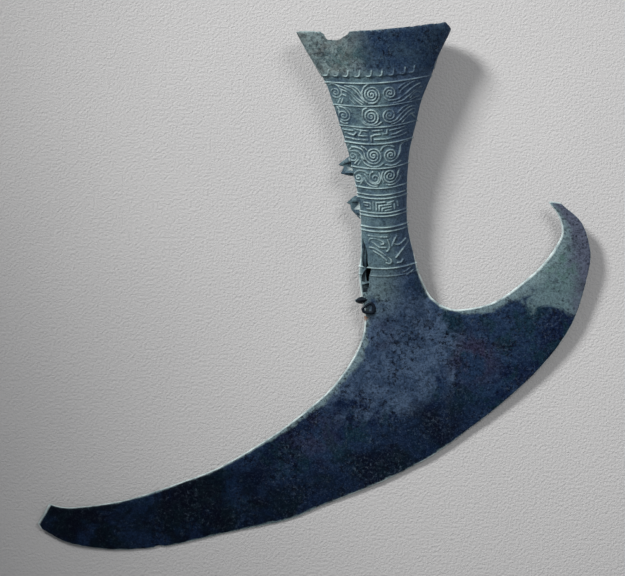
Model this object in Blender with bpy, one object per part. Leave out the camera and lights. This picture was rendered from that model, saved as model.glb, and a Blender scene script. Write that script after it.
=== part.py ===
"""A socketed ceremonial axe head, cast in one piece of bronze: a flared hollow socket with bands of raised
ornament, on a crescent blade that ends in a raised horn on one side and in a broken tip on the other.

It is drawn in its own middle plane: x runs across, y runs up towards the mouth of the socket, and height is
measured from the middle plane. The origin of the drawing is the foot of the socket. The finished axe is then
laid down on its side face, on the floor."""

import math

import bmesh
import bpy
import numpy as np
from mathutils import Matrix, Vector, geometry

MM = 0.001

# Socket. The length runs from the mouth to the foot, along the leaning axis.
SOCKET_LENGTH = 226 * MM
SOCKET_LEAN = math.radians(3.6)
MOUTH_WIDTH = 120.4 * MM
MOUTH_DEPTH = 40 * MM
WAIST_WIDTH = 37.1 * MM
WAIST_DEPTH = 26 * MM
FOOT_DEPTH = 21 * MM
BULGE_FADE = 82 * MM
BULGE_SPREAD = 0.12
WALL = 2.8 * MM
# The hollow stops a little above the foot.
BORE_STOP = 8 * MM
BORE_LENGTH = SOCKET_LENGTH - BORE_STOP
BORE_END_WIDTH = 24 * MM
RIM_SAG = 4.5 * MM
BAND_SAG = 5 * MM
WAIST_SAG = 3.7 * MM
FOOT_STRAIGHTENS = 0.6

# Each side of the socket: share of the length from the mouth, share of the flare from waist to mouth.
LEFT_SIDE = [(0, 1), (0.087, 0.774), (0.181, 0.503), (0.254, 0.385), (0.335, 0.272), (0.405, 0.179),
             (0.463, 0.114), (0.535, 0.052), (0.59, 0.008), (0.674, -0.02), (0.792, 0.02), (0.88, 0.085)]
RIGHT_SIDE = [(0, 1), (0.02, 1.087), (0.037, 1.058), (0.087, 0.902), (0.132, 0.767), (0.183, 0.659),
              (0.268, 0.441), (0.346, 0.311), (0.439, 0.157), (0.511, 0.095), (0.565, 0.061),
              (0.677, 0.02), (0.749, 0.047), (0.823, 0.121), (0.88, 0.19)]
# Where the waist is, and where the bands end, as shares of the length.
WAIST_AT = 0.65
BANDS_END = 0.9

# Blade. Its outline is in thousandths of its span, from the foot of the socket.
BLADE_SPAN = 442 * MM
BLADE_THICKNESS = 5.6 * MM
TIP_THICKNESS = 4.4 * MM
EDGE_THICKNESS = 1.2 * MM
EDGE_TAPER = 34 * MM
EDGE_ROUNDING = 0.6 * MM
BACK_ROUNDING = 5.2 * MM

LEFT_FOOT = [(-44, -16), (-48, -51), (-61, -82)]
LEFT_BACK = [(-61, -82), (-83, -117), (-123, -161), (-204, -224), (-296, -280), (-363, -308),
             (-473, -344), (-566, -358), (-599, -356), (-614, -351)]
BROKEN_TIP = [(-614, -351), (-635, -387), (-630, -396)]
LEFT_EDGE = [(-630, -396), (-589, -419), (-538, -431), (-473, -435), (-393, -427), (-296, -405),
             (-184, -381), (-118, -353), (-49, -323), (-12, -304)]
MIDDLE_EDGE = [(-12, -304), (24, -285), (67, -269), (113, -239)]
HORN_EDGE = [(113, -239), (205, -170), (281, -98), (334, -22), (363, 73), (364, 114), (349, 158),
             (310, 194)]
HORN_TIP = [(310, 194), (293, 196), (289, 194)]
HORN_INNER = [(93, 9), (127, 0), (191, 14), (247, 53), (283, 87), (310, 128), (313, 149), (305, 173),
              (289, 194)]
RIGHT_FOOT = [(74, 27), (93, 9)]

# Raised ornament. Down is measured from the mouth along the middle of the face, across from the axis, both
# in units of the drawing. The lug stubs, the chip and the slots are drawn in the same way.
DRAWN = 1 * MM
RIDGE_HEIGHT = 0.8 * MM
RIDGE_WIDTH = 1.7 * MM
LINE_PITCH = 2.8 * MM
SIDE_MARGIN = 0.9
RINGS = [46.6, 64.8, 81.5, 94.7, 114.2, 129.9, 135.3, 138.3, 149.5, 152.3, 161.2, 164.3, 193.6, 199.5]
FRINGE_TOP = 35
FRINGE_BASE = 41.6
FRINGE_STEP = 8.4
# Each row of spirals: how far down its middle is, its spirals (across, radius), and the bundles of lines
# that sweep between them (start across, start down, end across, end down, lines).
SPIRAL_ROWS = [
    (55.6, [(-31.4, 5.2), (-3.4, 7.6), (11.2, 6.4)],
     [(-24, -4, -10.5, 5, 4), (19, 5, 36, -4.5, 4)]),
    (73, [(-25.8, 5.2), (-4.5, 6.8), (10.6, 6.2)],
     [(-19, -3, -10, 4, 3), (18, 4, 31, -4, 4)]),
    (104.4, [(-20, 4.8), (-4.4, 7.6), (9.2, 7)],
     [(-15.5, -3, -11, 5, 2), (16, 5, 22.5, -5, 2)]),
    (122, [(-16.4, 5), (-3.6, 5.6), (8, 6)],
     [(-12, -2, -8.5, 4, 2), (14.5, 4, 18.5, -4, 2)]),
]
# Straight strokes of the two key-fret bands and of the panel below them: lists of (across, down).
KEY_FRETS = [
    [(-24, 85), (-19, 86), (-18, 84)], [(-15, 83.5), (-16, 87.5)], [(-23.5, 88.5), (-9, 90.5)],
    [(-4.5, 91.6), (-4.4, 87.4), (1, 85.8)], [(-2, 90.4), (11, 90.6), (21.5, 90)],
    [(-3.6, 83.6), (4.5, 83.2)], [(7.8, 83.5), (8, 87.5)], [(12, 87.5), (22, 86)],
    [(-13.5, 141.5), (-9, 141.8), (-9, 146)], [(-6.6, 141), (-6.6, 147)], [(-3.6, 147), (-3.6, 141)],
    [(-1, 143.2), (9.6, 142)], [(-1, 146.5), (12, 145.3)], [(13.5, 142), (13.6, 146)],
]
PANEL_STROKES = [
    [(-12, 168.5), (-6, 167.5), (0.5, 170), (2.4, 174), (-2, 176.4), (-8, 174)],
    [(-12.5, 177.5), (-6, 180), (1.5, 187.6), (3.4, 190), (0.5, 191.3), (-2.4, 189)],
    [(11.5, 168), (7.6, 172), (5.6, 176.5)], [(17.5, 176.5), (12.5, 181), (7.6, 185.6)],
    [(8.6, 190), (12.2, 189.6), (14, 187.6)], [(-9.5, 183), (-4, 187)],
]

# Lug stubs on the left seam, as (across, down), and their thickness.
STUB_THICKNESS = 3.6 * MM
STUBS = [
    [(-20.6, 100), (-24.8, 102.3), (-32.9, 107.8), (-29, 109.5), (-31.6, 114.9), (-22.6, 117.6),
     (-19.4, 118.4)],
    [(-17.2, 132), (-21.6, 133.7), (-28.2, 138.7), (-25.3, 140.5), (-25.2, 143), (-24.4, 145.2),
     (-18.6, 152), (-16.4, 152.6)],
    [(-17.5, 213.6), (-22, 214.2), (-26.6, 216.6), (-23.4, 219.8), (-17, 220.6)],
]
# The whole lug is a small three-cornered ring that stands off the left side of the foot.
LUG_CORNERS = [(-21.6, 219), (-10.8, 218), (-16.4, 228.4)]
LUG_THICKNESS = 4.4 * MM
LUG_LIFT = 5.5 * MM
LUG_PULL = 0.86

# The chip in the rim, and the slots that the casting left open along the left seam.
CHIP = [(-40.5, -8), (-40.2, 3.6), (-37.5, 5.9), (-35.7, 9.4), (-26.1, 10), (-19.1, 6.4), (-11, -8)]
SLOTS = [
    [(-18, 168.6), (-16.8, 168.6), (-14.4, 180), (-14.2, 191), (-17.6, 191), (-17.8, 181)],
    [(-17.6, 194.6), (-12.8, 193), (-14.8, 202), (-18.6, 203)],
    [(-18.6, 204.8), (-14.8, 203.8), (-17.2, 210.6), (-18.8, 210.8)],
]
SLOT_DEPTH = 9 * MM

# How finely the surfaces are divided.
COLUMNS = 14
ACROSS_BLADE = [0, 0.012, 0.034, 0.075, 0.2, 0.42, 0.68, 0.88, 0.985, 1]
LEFT_WING_COLUMNS = 26
HORN_COLUMNS = 22
FOOT_ROWS = 8
BORE_ROWS = 9
POINTS_PER_TURN = 7
PLAIN_ROW_GAP = 9 * MM
SMALLEST_GAP = 0.01 * MM

UP = np.array([-math.sin(SOCKET_LEAN), math.cos(SOCKET_LEAN)])
SIDE = np.array([math.cos(SOCKET_LEAN), math.sin(SOCKET_LEAN)])


def curve(x, stations):
    """A smooth curve through the stations, read at x."""
    xs = np.array([s[0] for s in stations], float)
    ys = np.array([s[1] for s in stations], float)
    slopes = np.gradient(ys, xs)
    x = np.clip(x, xs[0], xs[-1])
    i = np.clip(np.searchsorted(xs, x) - 1, 0, len(xs) - 2)
    width = xs[i + 1] - xs[i]
    t = (x - xs[i]) / width
    return ((2 * t**3 - 3 * t**2 + 1) * ys[i] + (t**3 - 2 * t**2 + t) * width * slopes[i]
            + (3 * t**2 - 2 * t**3) * ys[i + 1] + (t**3 - t**2) * width * slopes[i + 1])


def smooth_step(t):
    t = np.clip(t, 0, 1)
    return t * t * (3 - 2 * t)


def through(points, count):
    """Points spaced evenly along a smooth curve through the given ones."""
    points = np.array(points, float)
    ends = [2 * points[0] - points[1], *points, 2 * points[-1] - points[-2]]
    dense = []
    for i in range(1, len(ends) - 2):
        p0, p1, p2, p3 = (np.array(p) for p in ends[i - 1:i + 3])
        for t in np.linspace(0, 1, 24, endpoint=False):
            dense.append(0.5 * (2 * p1 + (p2 - p0) * t + (2 * p0 - 5 * p1 + 4 * p2 - p3) * t**2
                                + (3 * p1 - p0 - 3 * p2 + p3) * t**3))
    return evenly([*dense, points[-1]], count)


def evenly(points, count):
    """Points spaced evenly along straight runs."""
    points = np.array(points, float)
    run = np.concatenate([[0], np.cumsum(np.linalg.norm(np.diff(points, axis=0), axis=1))])
    at = np.linspace(0, run[-1], count)
    return np.stack([np.interp(at, run, points[:, k]) for k in range(points.shape[1])], axis=1)


def blade_points(thousandths):
    return np.array(thousandths, float) / 1000 * BLADE_SPAN


def on_plane(across, down):
    """A place on the middle plane, from its distance across the axis and down from the mouth."""
    return np.multiply.outer(SOCKET_LENGTH - np.asarray(down), UP) + np.multiply.outer(across, SIDE)


def across_and_down(points):
    return points @ SIDE, SOCKET_LENGTH - points @ UP


def half_width(down, sides):
    share = curve(np.asarray(down) / SOCKET_LENGTH, sides)
    return WAIST_WIDTH / 2 + share * (MOUTH_WIDTH - WAIST_WIDTH) / 2


def sag(down):
    """How much lower a ring runs at the middle of the face than at the sides of the socket."""
    stations = [(0, RIM_SAG), (0.2, BAND_SAG), (0.3, BAND_SAG), (WAIST_AT, WAIST_SAG), (1, WAIST_SAG)]
    return curve(np.asarray(down) / SOCKET_LENGTH, stations)


def side_of_socket(sides, foot):
    """The outline of one side of the socket, from the mouth down to where the blade begins."""
    sign = -1 if sides is LEFT_SIDE else 1
    stations = [on_plane(sign * half_width(d * SOCKET_LENGTH, sides), d * SOCKET_LENGTH)
                for d, _ in sides]
    return through([*stations, *blade_points(foot)], 600)


LEFT_OUTLINE = side_of_socket(LEFT_SIDE, LEFT_FOOT)
RIGHT_OUTLINE = side_of_socket(RIGHT_SIDE, RIGHT_FOOT)


def outline_at(outline, down):
    """Distance from the axis to the outline of one side, at a distance down from the mouth."""
    across, along = across_and_down(outline)
    return np.interp(down, along, np.abs(across))


def socket_half_depth(down):
    waist = WAIST_AT * SOCKET_LENGTH
    flare = np.clip(1 - down / waist, 0, 1) ** 1.7
    upper = WAIST_DEPTH / 2 + flare * (MOUTH_DEPTH - WAIST_DEPTH) / 2
    lower = (FOOT_DEPTH - WAIST_DEPTH) / 2 * smooth_step((down - waist) / (SOCKET_LENGTH - waist))
    fade = 1 - smooth_step((down - BANDS_END * SOCKET_LENGTH) / BULGE_FADE)
    return (upper + lower) * fade


def bulge_sides(down):
    """Left and right half width of the socket's body, which runs on under the bands into the blade."""
    end = BANDS_END * SOCKET_LENGTH
    widths = []
    for outline in (LEFT_OUTLINE, RIGHT_OUTLINE):
        at_outline = outline_at(outline, down)
        spreading = outline_at(outline, end) + BULGE_SPREAD * (down - end)
        widths.append(np.where(down < end, at_outline, np.minimum(spreading, at_outline)))
    return widths


def distance_to(points, line):
    """Distance from each point to a line of straight runs."""
    best = np.full(len(points), np.inf)
    for a, b in zip(line[:-1], line[1:]):
        run = b - a
        t = np.clip((points - a) @ run / max(run @ run, 1e-18), 0, 1)
        best = np.minimum(best, np.linalg.norm(points - a - t[:, None] * run, axis=1))
    return best


BACKS = [
    LEFT_OUTLINE, RIGHT_OUTLINE, through(blade_points(LEFT_BACK), 120), blade_points(BROKEN_TIP),
    through(blade_points(HORN_INNER), 120), blade_points(HORN_TIP),
]
EDGE = np.concatenate([through(blade_points(e), 60) for e in (LEFT_EDGE, MIDDLE_EDGE, HORN_EDGE)])


def blade_height(points):
    """Half the thickness of the blade: a rounded back, and a long thin taper to the cutting edge."""
    to_back = np.min([distance_to(points, back) for back in BACKS], axis=0)
    to_edge = distance_to(points, EDGE)
    reach = np.clip(np.linalg.norm(points, axis=1) / (0.65 * BLADE_SPAN), 0, 1)
    body = (BLADE_THICKNESS + (TIP_THICKNESS - BLADE_THICKNESS) * reach) / 2
    height = EDGE_THICKNESS / 2 + (body - EDGE_THICKNESS / 2) * (1 - np.exp(-to_edge / EDGE_TAPER))
    for distance, rounding in ((to_back, BACK_ROUNDING), (to_edge, EDGE_ROUNDING)):
        height = height * np.sqrt(1 - (1 - np.clip(distance / rounding, 0, 1)) ** 2)
    return height


def socket_height(points):
    """Half the depth of the socket's oval body, and the way out of its surface."""
    across, down = across_and_down(points)
    left, right = bulge_sides(down)
    half, middle = (left + right) / 2, (right - left) / 2
    share = np.clip((across - middle) / half, -1, 1)
    depth = socket_half_depth(down)
    rise = np.sqrt(1 - share**2)
    outward = np.stack([share / half, rise / np.maximum(depth, MM)], axis=1)
    outward /= np.linalg.norm(outward, axis=1)[:, None]
    return depth * rise, outward


def surface(points, relief=0):
    """The upper surface over the given places of the middle plane, with raised ornament on it."""
    bulge, outward = socket_height(points)
    height = (bulge**4 + blade_height(points) ** 4) ** 0.25
    relief = np.broadcast_to(relief, len(points))[:, None]
    flat = points + relief * outward[:, :1] * SIDE
    return np.column_stack([flat, height + relief[:, 0] * outward[:, 1]])


def row_ends(label):
    """How far down a row meets the left and the right outline. Below the bands the rows turn to the feet."""
    start = BANDS_END * SOCKET_LENGTH
    turn = np.clip((label - start) / (SOCKET_LENGTH - start), 0, 1)
    ends = []
    for foot in (LEFT_FOOT[-1], RIGHT_FOOT[-1]):
        _, foot_down = across_and_down(blade_points([foot]))
        ends.append((1 - turn) * np.minimum(label, start) + turn * foot_down[0])
    return ends, turn


def row_point(share, label, droop=1):
    """A place on a row: share runs from -1 at the left outline to 1 at the right."""
    (left_down, right_down), turn = row_ends(label)
    left = -outline_at(LEFT_OUTLINE, left_down)
    right = outline_at(RIGHT_OUTLINE, right_down)
    across = (left * (1 - share) + right * (1 + share)) / 2
    down = (left_down * (1 - share) + right_down * (1 + share)) / 2
    down = down + droop * sag(label) * (1 - FOOT_STRAIGHTENS * turn) * (1 - share**2)
    return on_plane(across, down)


def row_label(ring):
    """The label of the row that runs through a place this far down the middle of the face."""
    label = ring * DRAWN
    for _ in range(6):
        label = ring * DRAWN - float(sag(label))
    return label


def on_face(line):
    """Ornament points given as (across, down), put on the middle plane."""
    places = []
    for across, ring in line:
        label = row_label(ring)
        left, right = -outline_at(LEFT_OUTLINE, label), outline_at(RIGHT_OUTLINE, label)
        share = (2 * across * DRAWN - left - right) / (right - left)
        places.append(row_point(np.clip(share, -SIDE_MARGIN, SIDE_MARGIN), label))
    return np.array(places)


def spiral(across, down, radius, hand, per_turn):
    """A spiral ridge that winds out from its middle."""
    turns = radius * DRAWN / LINE_PITCH
    angles = np.linspace(0, 2 * math.pi * turns, max(4, round(turns * per_turn)))
    reach = 0.5 + (radius - 0.5) * angles / angles[-1]
    return [(across + r * math.cos(a) * hand, down + r * math.sin(a)) for a, r in zip(angles, reach)]


def sweep(start, end, lines, steps):
    """A bundle of lines that leave flat, cross the row together and run out flat again."""
    (x0, y0), (x1, y1) = start, end
    bundle = []
    gap = LINE_PITCH / DRAWN
    for k in range(lines):
        shift = (k - (lines - 1) / 2) * gap
        bundle.append([(x0 + (x1 - x0) * t + shift * 0.45 * np.sign(y1 - y0),
                        y0 + (y1 - y0) * float(smooth_step(t)) - shift * 0.63)
                       for t in np.linspace(0, 1, steps)])
    return bundle


def ornament(per_turn=POINTS_PER_TURN):
    """Every ornament line but the rings, on the middle plane."""
    lines = []
    left, right = (-outline_at(LEFT_OUTLINE, FRINGE_BASE * DRAWN) / DRAWN,
                   outline_at(RIGHT_OUTLINE, FRINGE_BASE * DRAWN) / DRAWN)
    for x in np.arange(left * 0.86, right * 0.8, FRINGE_STEP):
        lines.append([(x, FRINGE_TOP), (x, FRINGE_BASE - 3), (x - 1.2, FRINGE_BASE - 1.2),
                      (x - 3.6, FRINGE_BASE), (x - FRINGE_STEP + 1.2, FRINGE_BASE - 0.4)])
    for middle, spirals, sweeps in SPIRAL_ROWS:
        for k, (across, radius) in enumerate(spirals):
            lines.append(spiral(across, middle, radius, 1 if k % 2 else -1, per_turn))
        for x0, y0, x1, y1, count in sweeps:
            lines += sweep((x0, middle + y0), (x1, middle + y1), count, 4)
    lines += KEY_FRETS + PANEL_STROKES
    return [on_face(line) for line in lines]


def ring_relief(labels):
    """Height of the rings that run right round the socket, on rows with these labels."""
    rings = np.array([row_label(r) for r in RINGS])
    off = np.min(np.abs(np.subtract.outer(labels, rings)), axis=1)
    return RIDGE_HEIGHT * np.clip(1 - off / (RIDGE_WIDTH / 2), 0, 1)


def socket_rows():
    """Labels of all rows of the socket: three for each ring, and plain ones between them."""
    crests = [row_label(r) for r in RINGS]
    labels = {0.0}
    for crest in crests:
        labels |= {crest - RIDGE_WIDTH / 2, crest, crest + RIDGE_WIDTH / 2}
    end = BANDS_END * SOCKET_LENGTH
    labels |= set(np.linspace(end + RIDGE_WIDTH, SOCKET_LENGTH, FOOT_ROWS))
    labels = sorted(labels)
    plain = []
    for above, below in zip(labels[:-1], labels[1:]):
        between = int((below - above) / PLAIN_ROW_GAP)
        plain += list(np.linspace(above, below, between + 2)[1:-1])
    return np.array(sorted(labels + plain))


def shares():
    return -np.cos(np.linspace(0, math.pi, COLUMNS + 1))


def offset(line, distance):
    """A line shifted sideways by a distance."""
    ahead = np.gradient(line, axis=0)
    ahead /= np.maximum(np.linalg.norm(ahead, axis=1), 1e-12)[:, None]
    return line + distance * np.column_stack([-ahead[:, 1], ahead[:, 0]])


def face_sheet(mesh):
    """The ornamented face of the socket, divided so that every raised line has a crest and two feet."""
    rows = socket_rows()
    columns = shares()
    points, runs = [], []

    def add(line):
        first = len(points)
        points.extend(Vector(p) for p in line)
        runs.extend((i, i + 1) for i in range(first, len(points) - 1))

    for label in rows:
        add([row_point(share, label) for share in columns])
    left_side, right_side = ([row_point(side, label) for label in rows] for side in (-1, 1))
    add(left_side)
    add(right_side)
    border = [*(row_point(share, rows[0]) for share in columns), *right_side,
              *(row_point(share, rows[-1]) for share in columns[::-1]), *left_side[::-1]]
    lines = ornament()
    for line in lines:
        for shift in (-RIDGE_WIDTH / 2, 0, RIDGE_WIDTH / 2):
            add(offset(line, shift))
    found = geometry.delaunay_2d_cdt(points, runs, [], 0, SMALLEST_GAP, False)
    flat = np.array([tuple(p) for p in found[0]])
    middles = flat[np.array(found[2])].mean(axis=1)
    crest = RIDGE_HEIGHT * np.clip(1 - np.min([distance_to(flat, line) for line in lines], axis=0)
                                   / (RIDGE_WIDTH / 2), 0, 1)
    relief = np.maximum(crest, ring_relief(labels_of(flat)))
    verts = [mesh.verts.new(p) for p in surface(flat, relief)]
    for face, within in zip(found[2], inside(middles, border)):
        if within:
            mesh.faces.new([verts[i] for i in face])


def inside(points, border):
    """Which points lie inside a closed border, by counting the sides that a level line crosses."""
    border = np.array(border)
    crossed = np.zeros(len(points), bool)
    for (x0, y0), (x1, y1) in zip(border, np.roll(border, -1, axis=0)):
        if y0 == y1:
            continue
        spans = (y0 > points[:, 1]) != (y1 > points[:, 1])
        reached = x0 + (points[:, 1] - y0) * (x1 - x0) / (y1 - y0)
        crossed ^= spans & (points[:, 0] < reached)
    return crossed


def labels_of(flat):
    """The label of the row through each place on the face of the socket."""
    across, down = across_and_down(flat)
    label = down.copy()
    for _ in range(12):
        left, right = outline_at(LEFT_OUTLINE, label), outline_at(RIGHT_OUTLINE, label)
        share = np.clip((2 * across + left - right) / (left + right), -1, 1)
        label = np.maximum(down - sag(label) * (1 - share**2), 0)
    return label


def grid(mesh, places, heights, flip):
    """A sheet of four-sided faces through a grid of places."""
    rows, columns = places.shape[:2]
    sheet = bmesh.ops.create_grid(mesh, x_segments=columns - 1, y_segments=rows - 1, size=1)
    for k, vert in enumerate(sheet["verts"]):
        i, j = divmod(k, columns)
        vert.co = (*places[i, j], heights[i, j])
    if flip:
        bmesh.ops.reverse_faces(mesh, faces=list({f for v in sheet["verts"] for f in v.link_faces}))


def back_sheet(mesh):
    """The plainer back of the socket: the rings run round it, and its rim is flat."""
    rows = socket_rows()
    columns = shares()
    droop = smooth_step(rows / (WAIST_AT * SOCKET_LENGTH / 3))
    places = np.array([[row_point(share, label, d) for share in columns]
                       for label, d in zip(rows, droop)])
    relief = np.repeat(ring_relief(rows), len(columns))
    solid = surface(places.reshape(-1, 2), relief).reshape(len(rows), len(columns), 3)
    grid(mesh, solid[..., :2], -solid[..., 2], False)


def patch(top, bottom, start, end, across):
    """Places inside four boundary lines, blended from all four."""
    v = np.array(across)[:, None, None]
    u = np.linspace(0, 1, len(top))[None, :, None]
    sides = (1 - u) * start[:, None] + u * end[:, None]
    spans = (1 - v) * top[None] + v * bottom[None]
    corners = ((1 - u) * (1 - v) * top[0] + u * (1 - v) * top[-1]
               + (1 - u) * v * bottom[0] + u * v * bottom[-1])
    return sides + spans - corners


def rib(above, below):
    share = np.array(ACROSS_BLADE)[:, None]
    return (1 - share) * above + share * below


def along(line, across):
    """Points of a boundary line at the given shares of its length."""
    dense = evenly(line, 400)
    return np.stack([np.interp(across, np.linspace(0, 1, 400), dense[:, k]) for k in (0, 1)], axis=1)


def blade_sheets(mesh):
    """Both faces of the crescent, in three patches: the middle under the socket and the two arms."""
    foot = np.array([row_point(share, SOCKET_LENGTH) for share in shares()])
    middle = along(through(blade_points(MIDDLE_EDGE), 80), (shares() + 1) / 2)
    left_rib, right_rib = rib(foot[0], middle[0]), rib(foot[-1], middle[-1])
    patches = [patch(foot, middle, left_rib, right_rib, ACROSS_BLADE)]
    back = through(blade_points(LEFT_BACK), LEFT_WING_COLUMNS)[::-1]
    edge = through(blade_points(LEFT_EDGE), LEFT_WING_COLUMNS)
    tip = along(blade_points(BROKEN_TIP), ACROSS_BLADE)
    patches.append(patch(back, edge, tip, left_rib, ACROSS_BLADE))
    inner = through(blade_points(HORN_INNER), HORN_COLUMNS)
    outer = through(blade_points(HORN_EDGE), HORN_COLUMNS)
    horn = along(blade_points(HORN_TIP)[::-1], ACROSS_BLADE)
    patches.append(patch(inner, outer, right_rib, horn, ACROSS_BLADE))
    for places in patches:
        heights = surface(places.reshape(-1, 2))[:, 2].reshape(places.shape[:2])
        heights[-1] = 0
        if places is patches[0]:
            heights[0, [0, -1]] = 0
        else:
            heights[0] = 0
            heights[:, 0 if places is patches[1] else -1] = 0
        grid(mesh, places, heights, True)
        grid(mesh, places, -heights, False)


def bore_loop(label, face_droop, back_droop):
    """One ring of the bore, a wall's thickness inside the socket, face first and then the back."""
    shrink = smooth_step((label - BANDS_END * SOCKET_LENGTH * 0.94) / (BORE_LENGTH * 0.3))
    left = outline_at(LEFT_OUTLINE, label) - WALL
    right = outline_at(RIGHT_OUTLINE, label) - WALL
    left, right = (w + (min(BORE_END_WIDTH / 2, w) - w) * shrink for w in (left, right))
    depth = socket_half_depth(label) - WALL
    loop = []
    for side, droop in ((1, face_droop), (-1, back_droop)):
        for share in shares()[:-1] * side:
            across = (right - left) / 2 + share * (left + right) / 2
            down = label + droop * (1 - share**2)
            loop.append((*on_plane(across, down), side * depth * math.sqrt(1 - share**2)))
    return loop


def bore(mesh):
    """The hollow that takes the haft, and the lip between it and the outside of the mouth."""
    labels = np.linspace(0, BORE_LENGTH, BORE_ROWS)
    loops = []
    for label in labels:
        droop = float(sag(label)) * (1 - float(smooth_step(label / (0.25 * SOCKET_LENGTH))))
        loops.append([mesh.verts.new(p) for p in bore_loop(label, droop, 0)])
    count = len(loops[0])
    for upper, lower in zip(loops[:-1], loops[1:]):
        for i in range(count):
            j = (i + 1) % count
            mesh.faces.new((upper[i], upper[j], lower[j], lower[i]))
    mesh.faces.new(loops[-1])
    outside = []
    for side, droop in ((1, 1), (-1, 0)):
        for share in shares()[:-1] * side:
            place = surface(np.array([row_point(share, 0.0, droop)]))[0]
            outside.append(mesh.verts.new((place[0], place[1], side * place[2])))
    for i in range(count):
        j = (i + 1) % count
        mesh.faces.new((outside[i], outside[j], loops[0][j], loops[0][i]))


def axe_body():
    mesh = bmesh.new()
    face_sheet(mesh)
    back_sheet(mesh)
    blade_sheets(mesh)
    bore(mesh)
    bmesh.ops.remove_doubles(mesh, verts=mesh.verts, dist=SMALLEST_GAP)
    bmesh.ops.dissolve_degenerate(mesh, edges=mesh.edges, dist=SMALLEST_GAP / 10)
    bmesh.ops.recalc_face_normals(mesh, faces=mesh.faces)
    if mesh.calc_volume(signed=True) < 0:
        bmesh.ops.reverse_faces(mesh, faces=mesh.faces)
    return mesh


def made_object(name, mesh, hidden=False):
    data = bpy.data.meshes.new(name)
    mesh.to_mesh(data)
    mesh.free()
    made = bpy.data.objects.new(name, data)
    bpy.context.scene.collection.objects.link(made)
    if hidden:
        made.hide_render = True
        made.display_type = "WIRE"
    return made


def slab(points, low, high):
    """A flat-sided block: an outline on the middle plane, drawn out from one height to another."""
    mesh = bmesh.new()
    base = mesh.faces.new([mesh.verts.new((*p, low)) for p in points])
    moved = bmesh.ops.extrude_face_region(mesh, geom=[base])["geom"]
    lifted = [v for v in moved if isinstance(v, bmesh.types.BMVert)]
    bmesh.ops.translate(mesh, verts=lifted, vec=(0, 0, high - low))
    bmesh.ops.recalc_face_normals(mesh, faces=mesh.faces)
    return mesh


def drawn(points):
    """An outline given as (across, down), put on the middle plane."""
    return [on_plane(across * DRAWN, down * DRAWN) for across, down in points]


def lug_ring():
    """The whole lug: a thick ring round three soft corners, leaning on the side of the foot."""
    corners = np.array(drawn(LUG_CORNERS))
    middle = corners.mean(axis=0)
    mesh = bmesh.new()
    loops = []
    for a in np.linspace(0, 2 * math.pi, 12, endpoint=False):
        towards = np.array([math.cos(a), math.sin(a)])
        reach = max((corners - middle) @ towards) * LUG_PULL
        loop = []
        for b in np.linspace(0, 2 * math.pi, 6, endpoint=False):
            flat = middle + towards * (reach + LUG_THICKNESS / 2 * math.cos(b))
            loop.append(mesh.verts.new((*flat, LUG_LIFT + LUG_THICKNESS / 2 * math.sin(b))))
        loops.append(loop)
    for k, loop in enumerate(loops):
        after = loops[(k + 1) % len(loops)]
        for i in range(6):
            j = (i + 1) % 6
            mesh.faces.new((loop[i], loop[j], after[j], after[i]))
    bmesh.ops.recalc_face_normals(mesh, faces=mesh.faces)
    return mesh


def combine(target, other, operation):
    step = target.modifiers.new(other.name, "BOOLEAN")
    step.object = other
    step.operation = operation
    step.solver = "EXACT"


def resting_turn(points, centre):
    """The turn that lays the axe on its back, on the side of its hull that its weight falls on, lowest first."""
    hull = bmesh.new()
    for p in points:
        hull.verts.new(p)
    bmesh.ops.convex_hull(hull, input=hull.verts)
    hull.normal_update()
    rest, lowest = None, math.inf
    for face in hull.faces:
        height = (face.verts[0].co - centre).dot(face.normal)
        falls_on = centre + height * face.normal
        outward = face.normal * math.copysign(1, height)
        if outward.z > 0 or abs(height) > lowest:
            continue
        if geometry.intersect_point_tri(falls_on, *[v.co for v in face.verts]):
            rest, lowest = outward.copy(), abs(height)
    hull.free()
    return rest.rotation_difference(Vector((0, 0, -1))).to_matrix().to_4x4()


def centre_of_weight(mesh):
    total, centre = 0.0, Vector()
    for face in mesh.calc_loop_triangles():
        a, b, c = (loop.vert.co for loop in face)
        volume = a.dot(b.cross(c)) / 6
        total += volume
        centre += volume * (a + b + c) / 4
    return centre / total


def bronze():
    """Dark blue-green patinated bronze."""
    material = bpy.data.materials.new("bronze")
    material.use_nodes = True
    shader = material.node_tree.nodes["Principled BSDF"]
    shader.inputs["Base Color"].default_value = (0.06, 0.11, 0.13, 1)
    shader.inputs["Roughness"].default_value = 0.55
    shader.inputs["Metallic"].default_value = 0.4
    return material


def main():
    for old in list(bpy.data.objects):
        bpy.data.objects.remove(old)
    body = axe_body()
    body.verts.ensure_lookup_table()
    points = [v.co.copy() for v in body.verts]
    turn = resting_turn(points, centre_of_weight(body))
    laid = np.array([turn @ p for p in points])
    low, high = laid.min(axis=0), laid.max(axis=0)
    place = Matrix.Translation((-(low[0] + high[0]) / 2, -(low[1] + high[1]) / 2, -low[2]))

    axe = made_object("bronze_axe", body)
    axe.data.materials.append(bronze())
    axe.data.shade_smooth()
    axe.data.set_sharp_from_angle(angle=math.radians(35))
    helpers = []
    half = STUB_THICKNESS / 2
    for k, stub in enumerate(STUBS):
        helpers.append((made_object(f"stub_{k + 1}", slab(drawn(stub), -half, half), True), "UNION"))
    helpers.append((made_object("lug", lug_ring(), True), "UNION"))
    helpers.append((made_object("chip", slab(drawn(CHIP), -MOUTH_DEPTH, MOUTH_DEPTH), True),
                    "DIFFERENCE"))
    for k, slot in enumerate(SLOTS):
        cutter = slab(drawn(slot), 0, SLOT_DEPTH)
        helpers.append((made_object(f"slot_{k + 1}", cutter, True), "DIFFERENCE"))
    for helper, operation in helpers:
        combine(axe, helper, operation)
    for laid_object in [axe, *(helper for helper, _ in helpers)]:
        laid_object.matrix_world = place @ turn


main()
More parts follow.
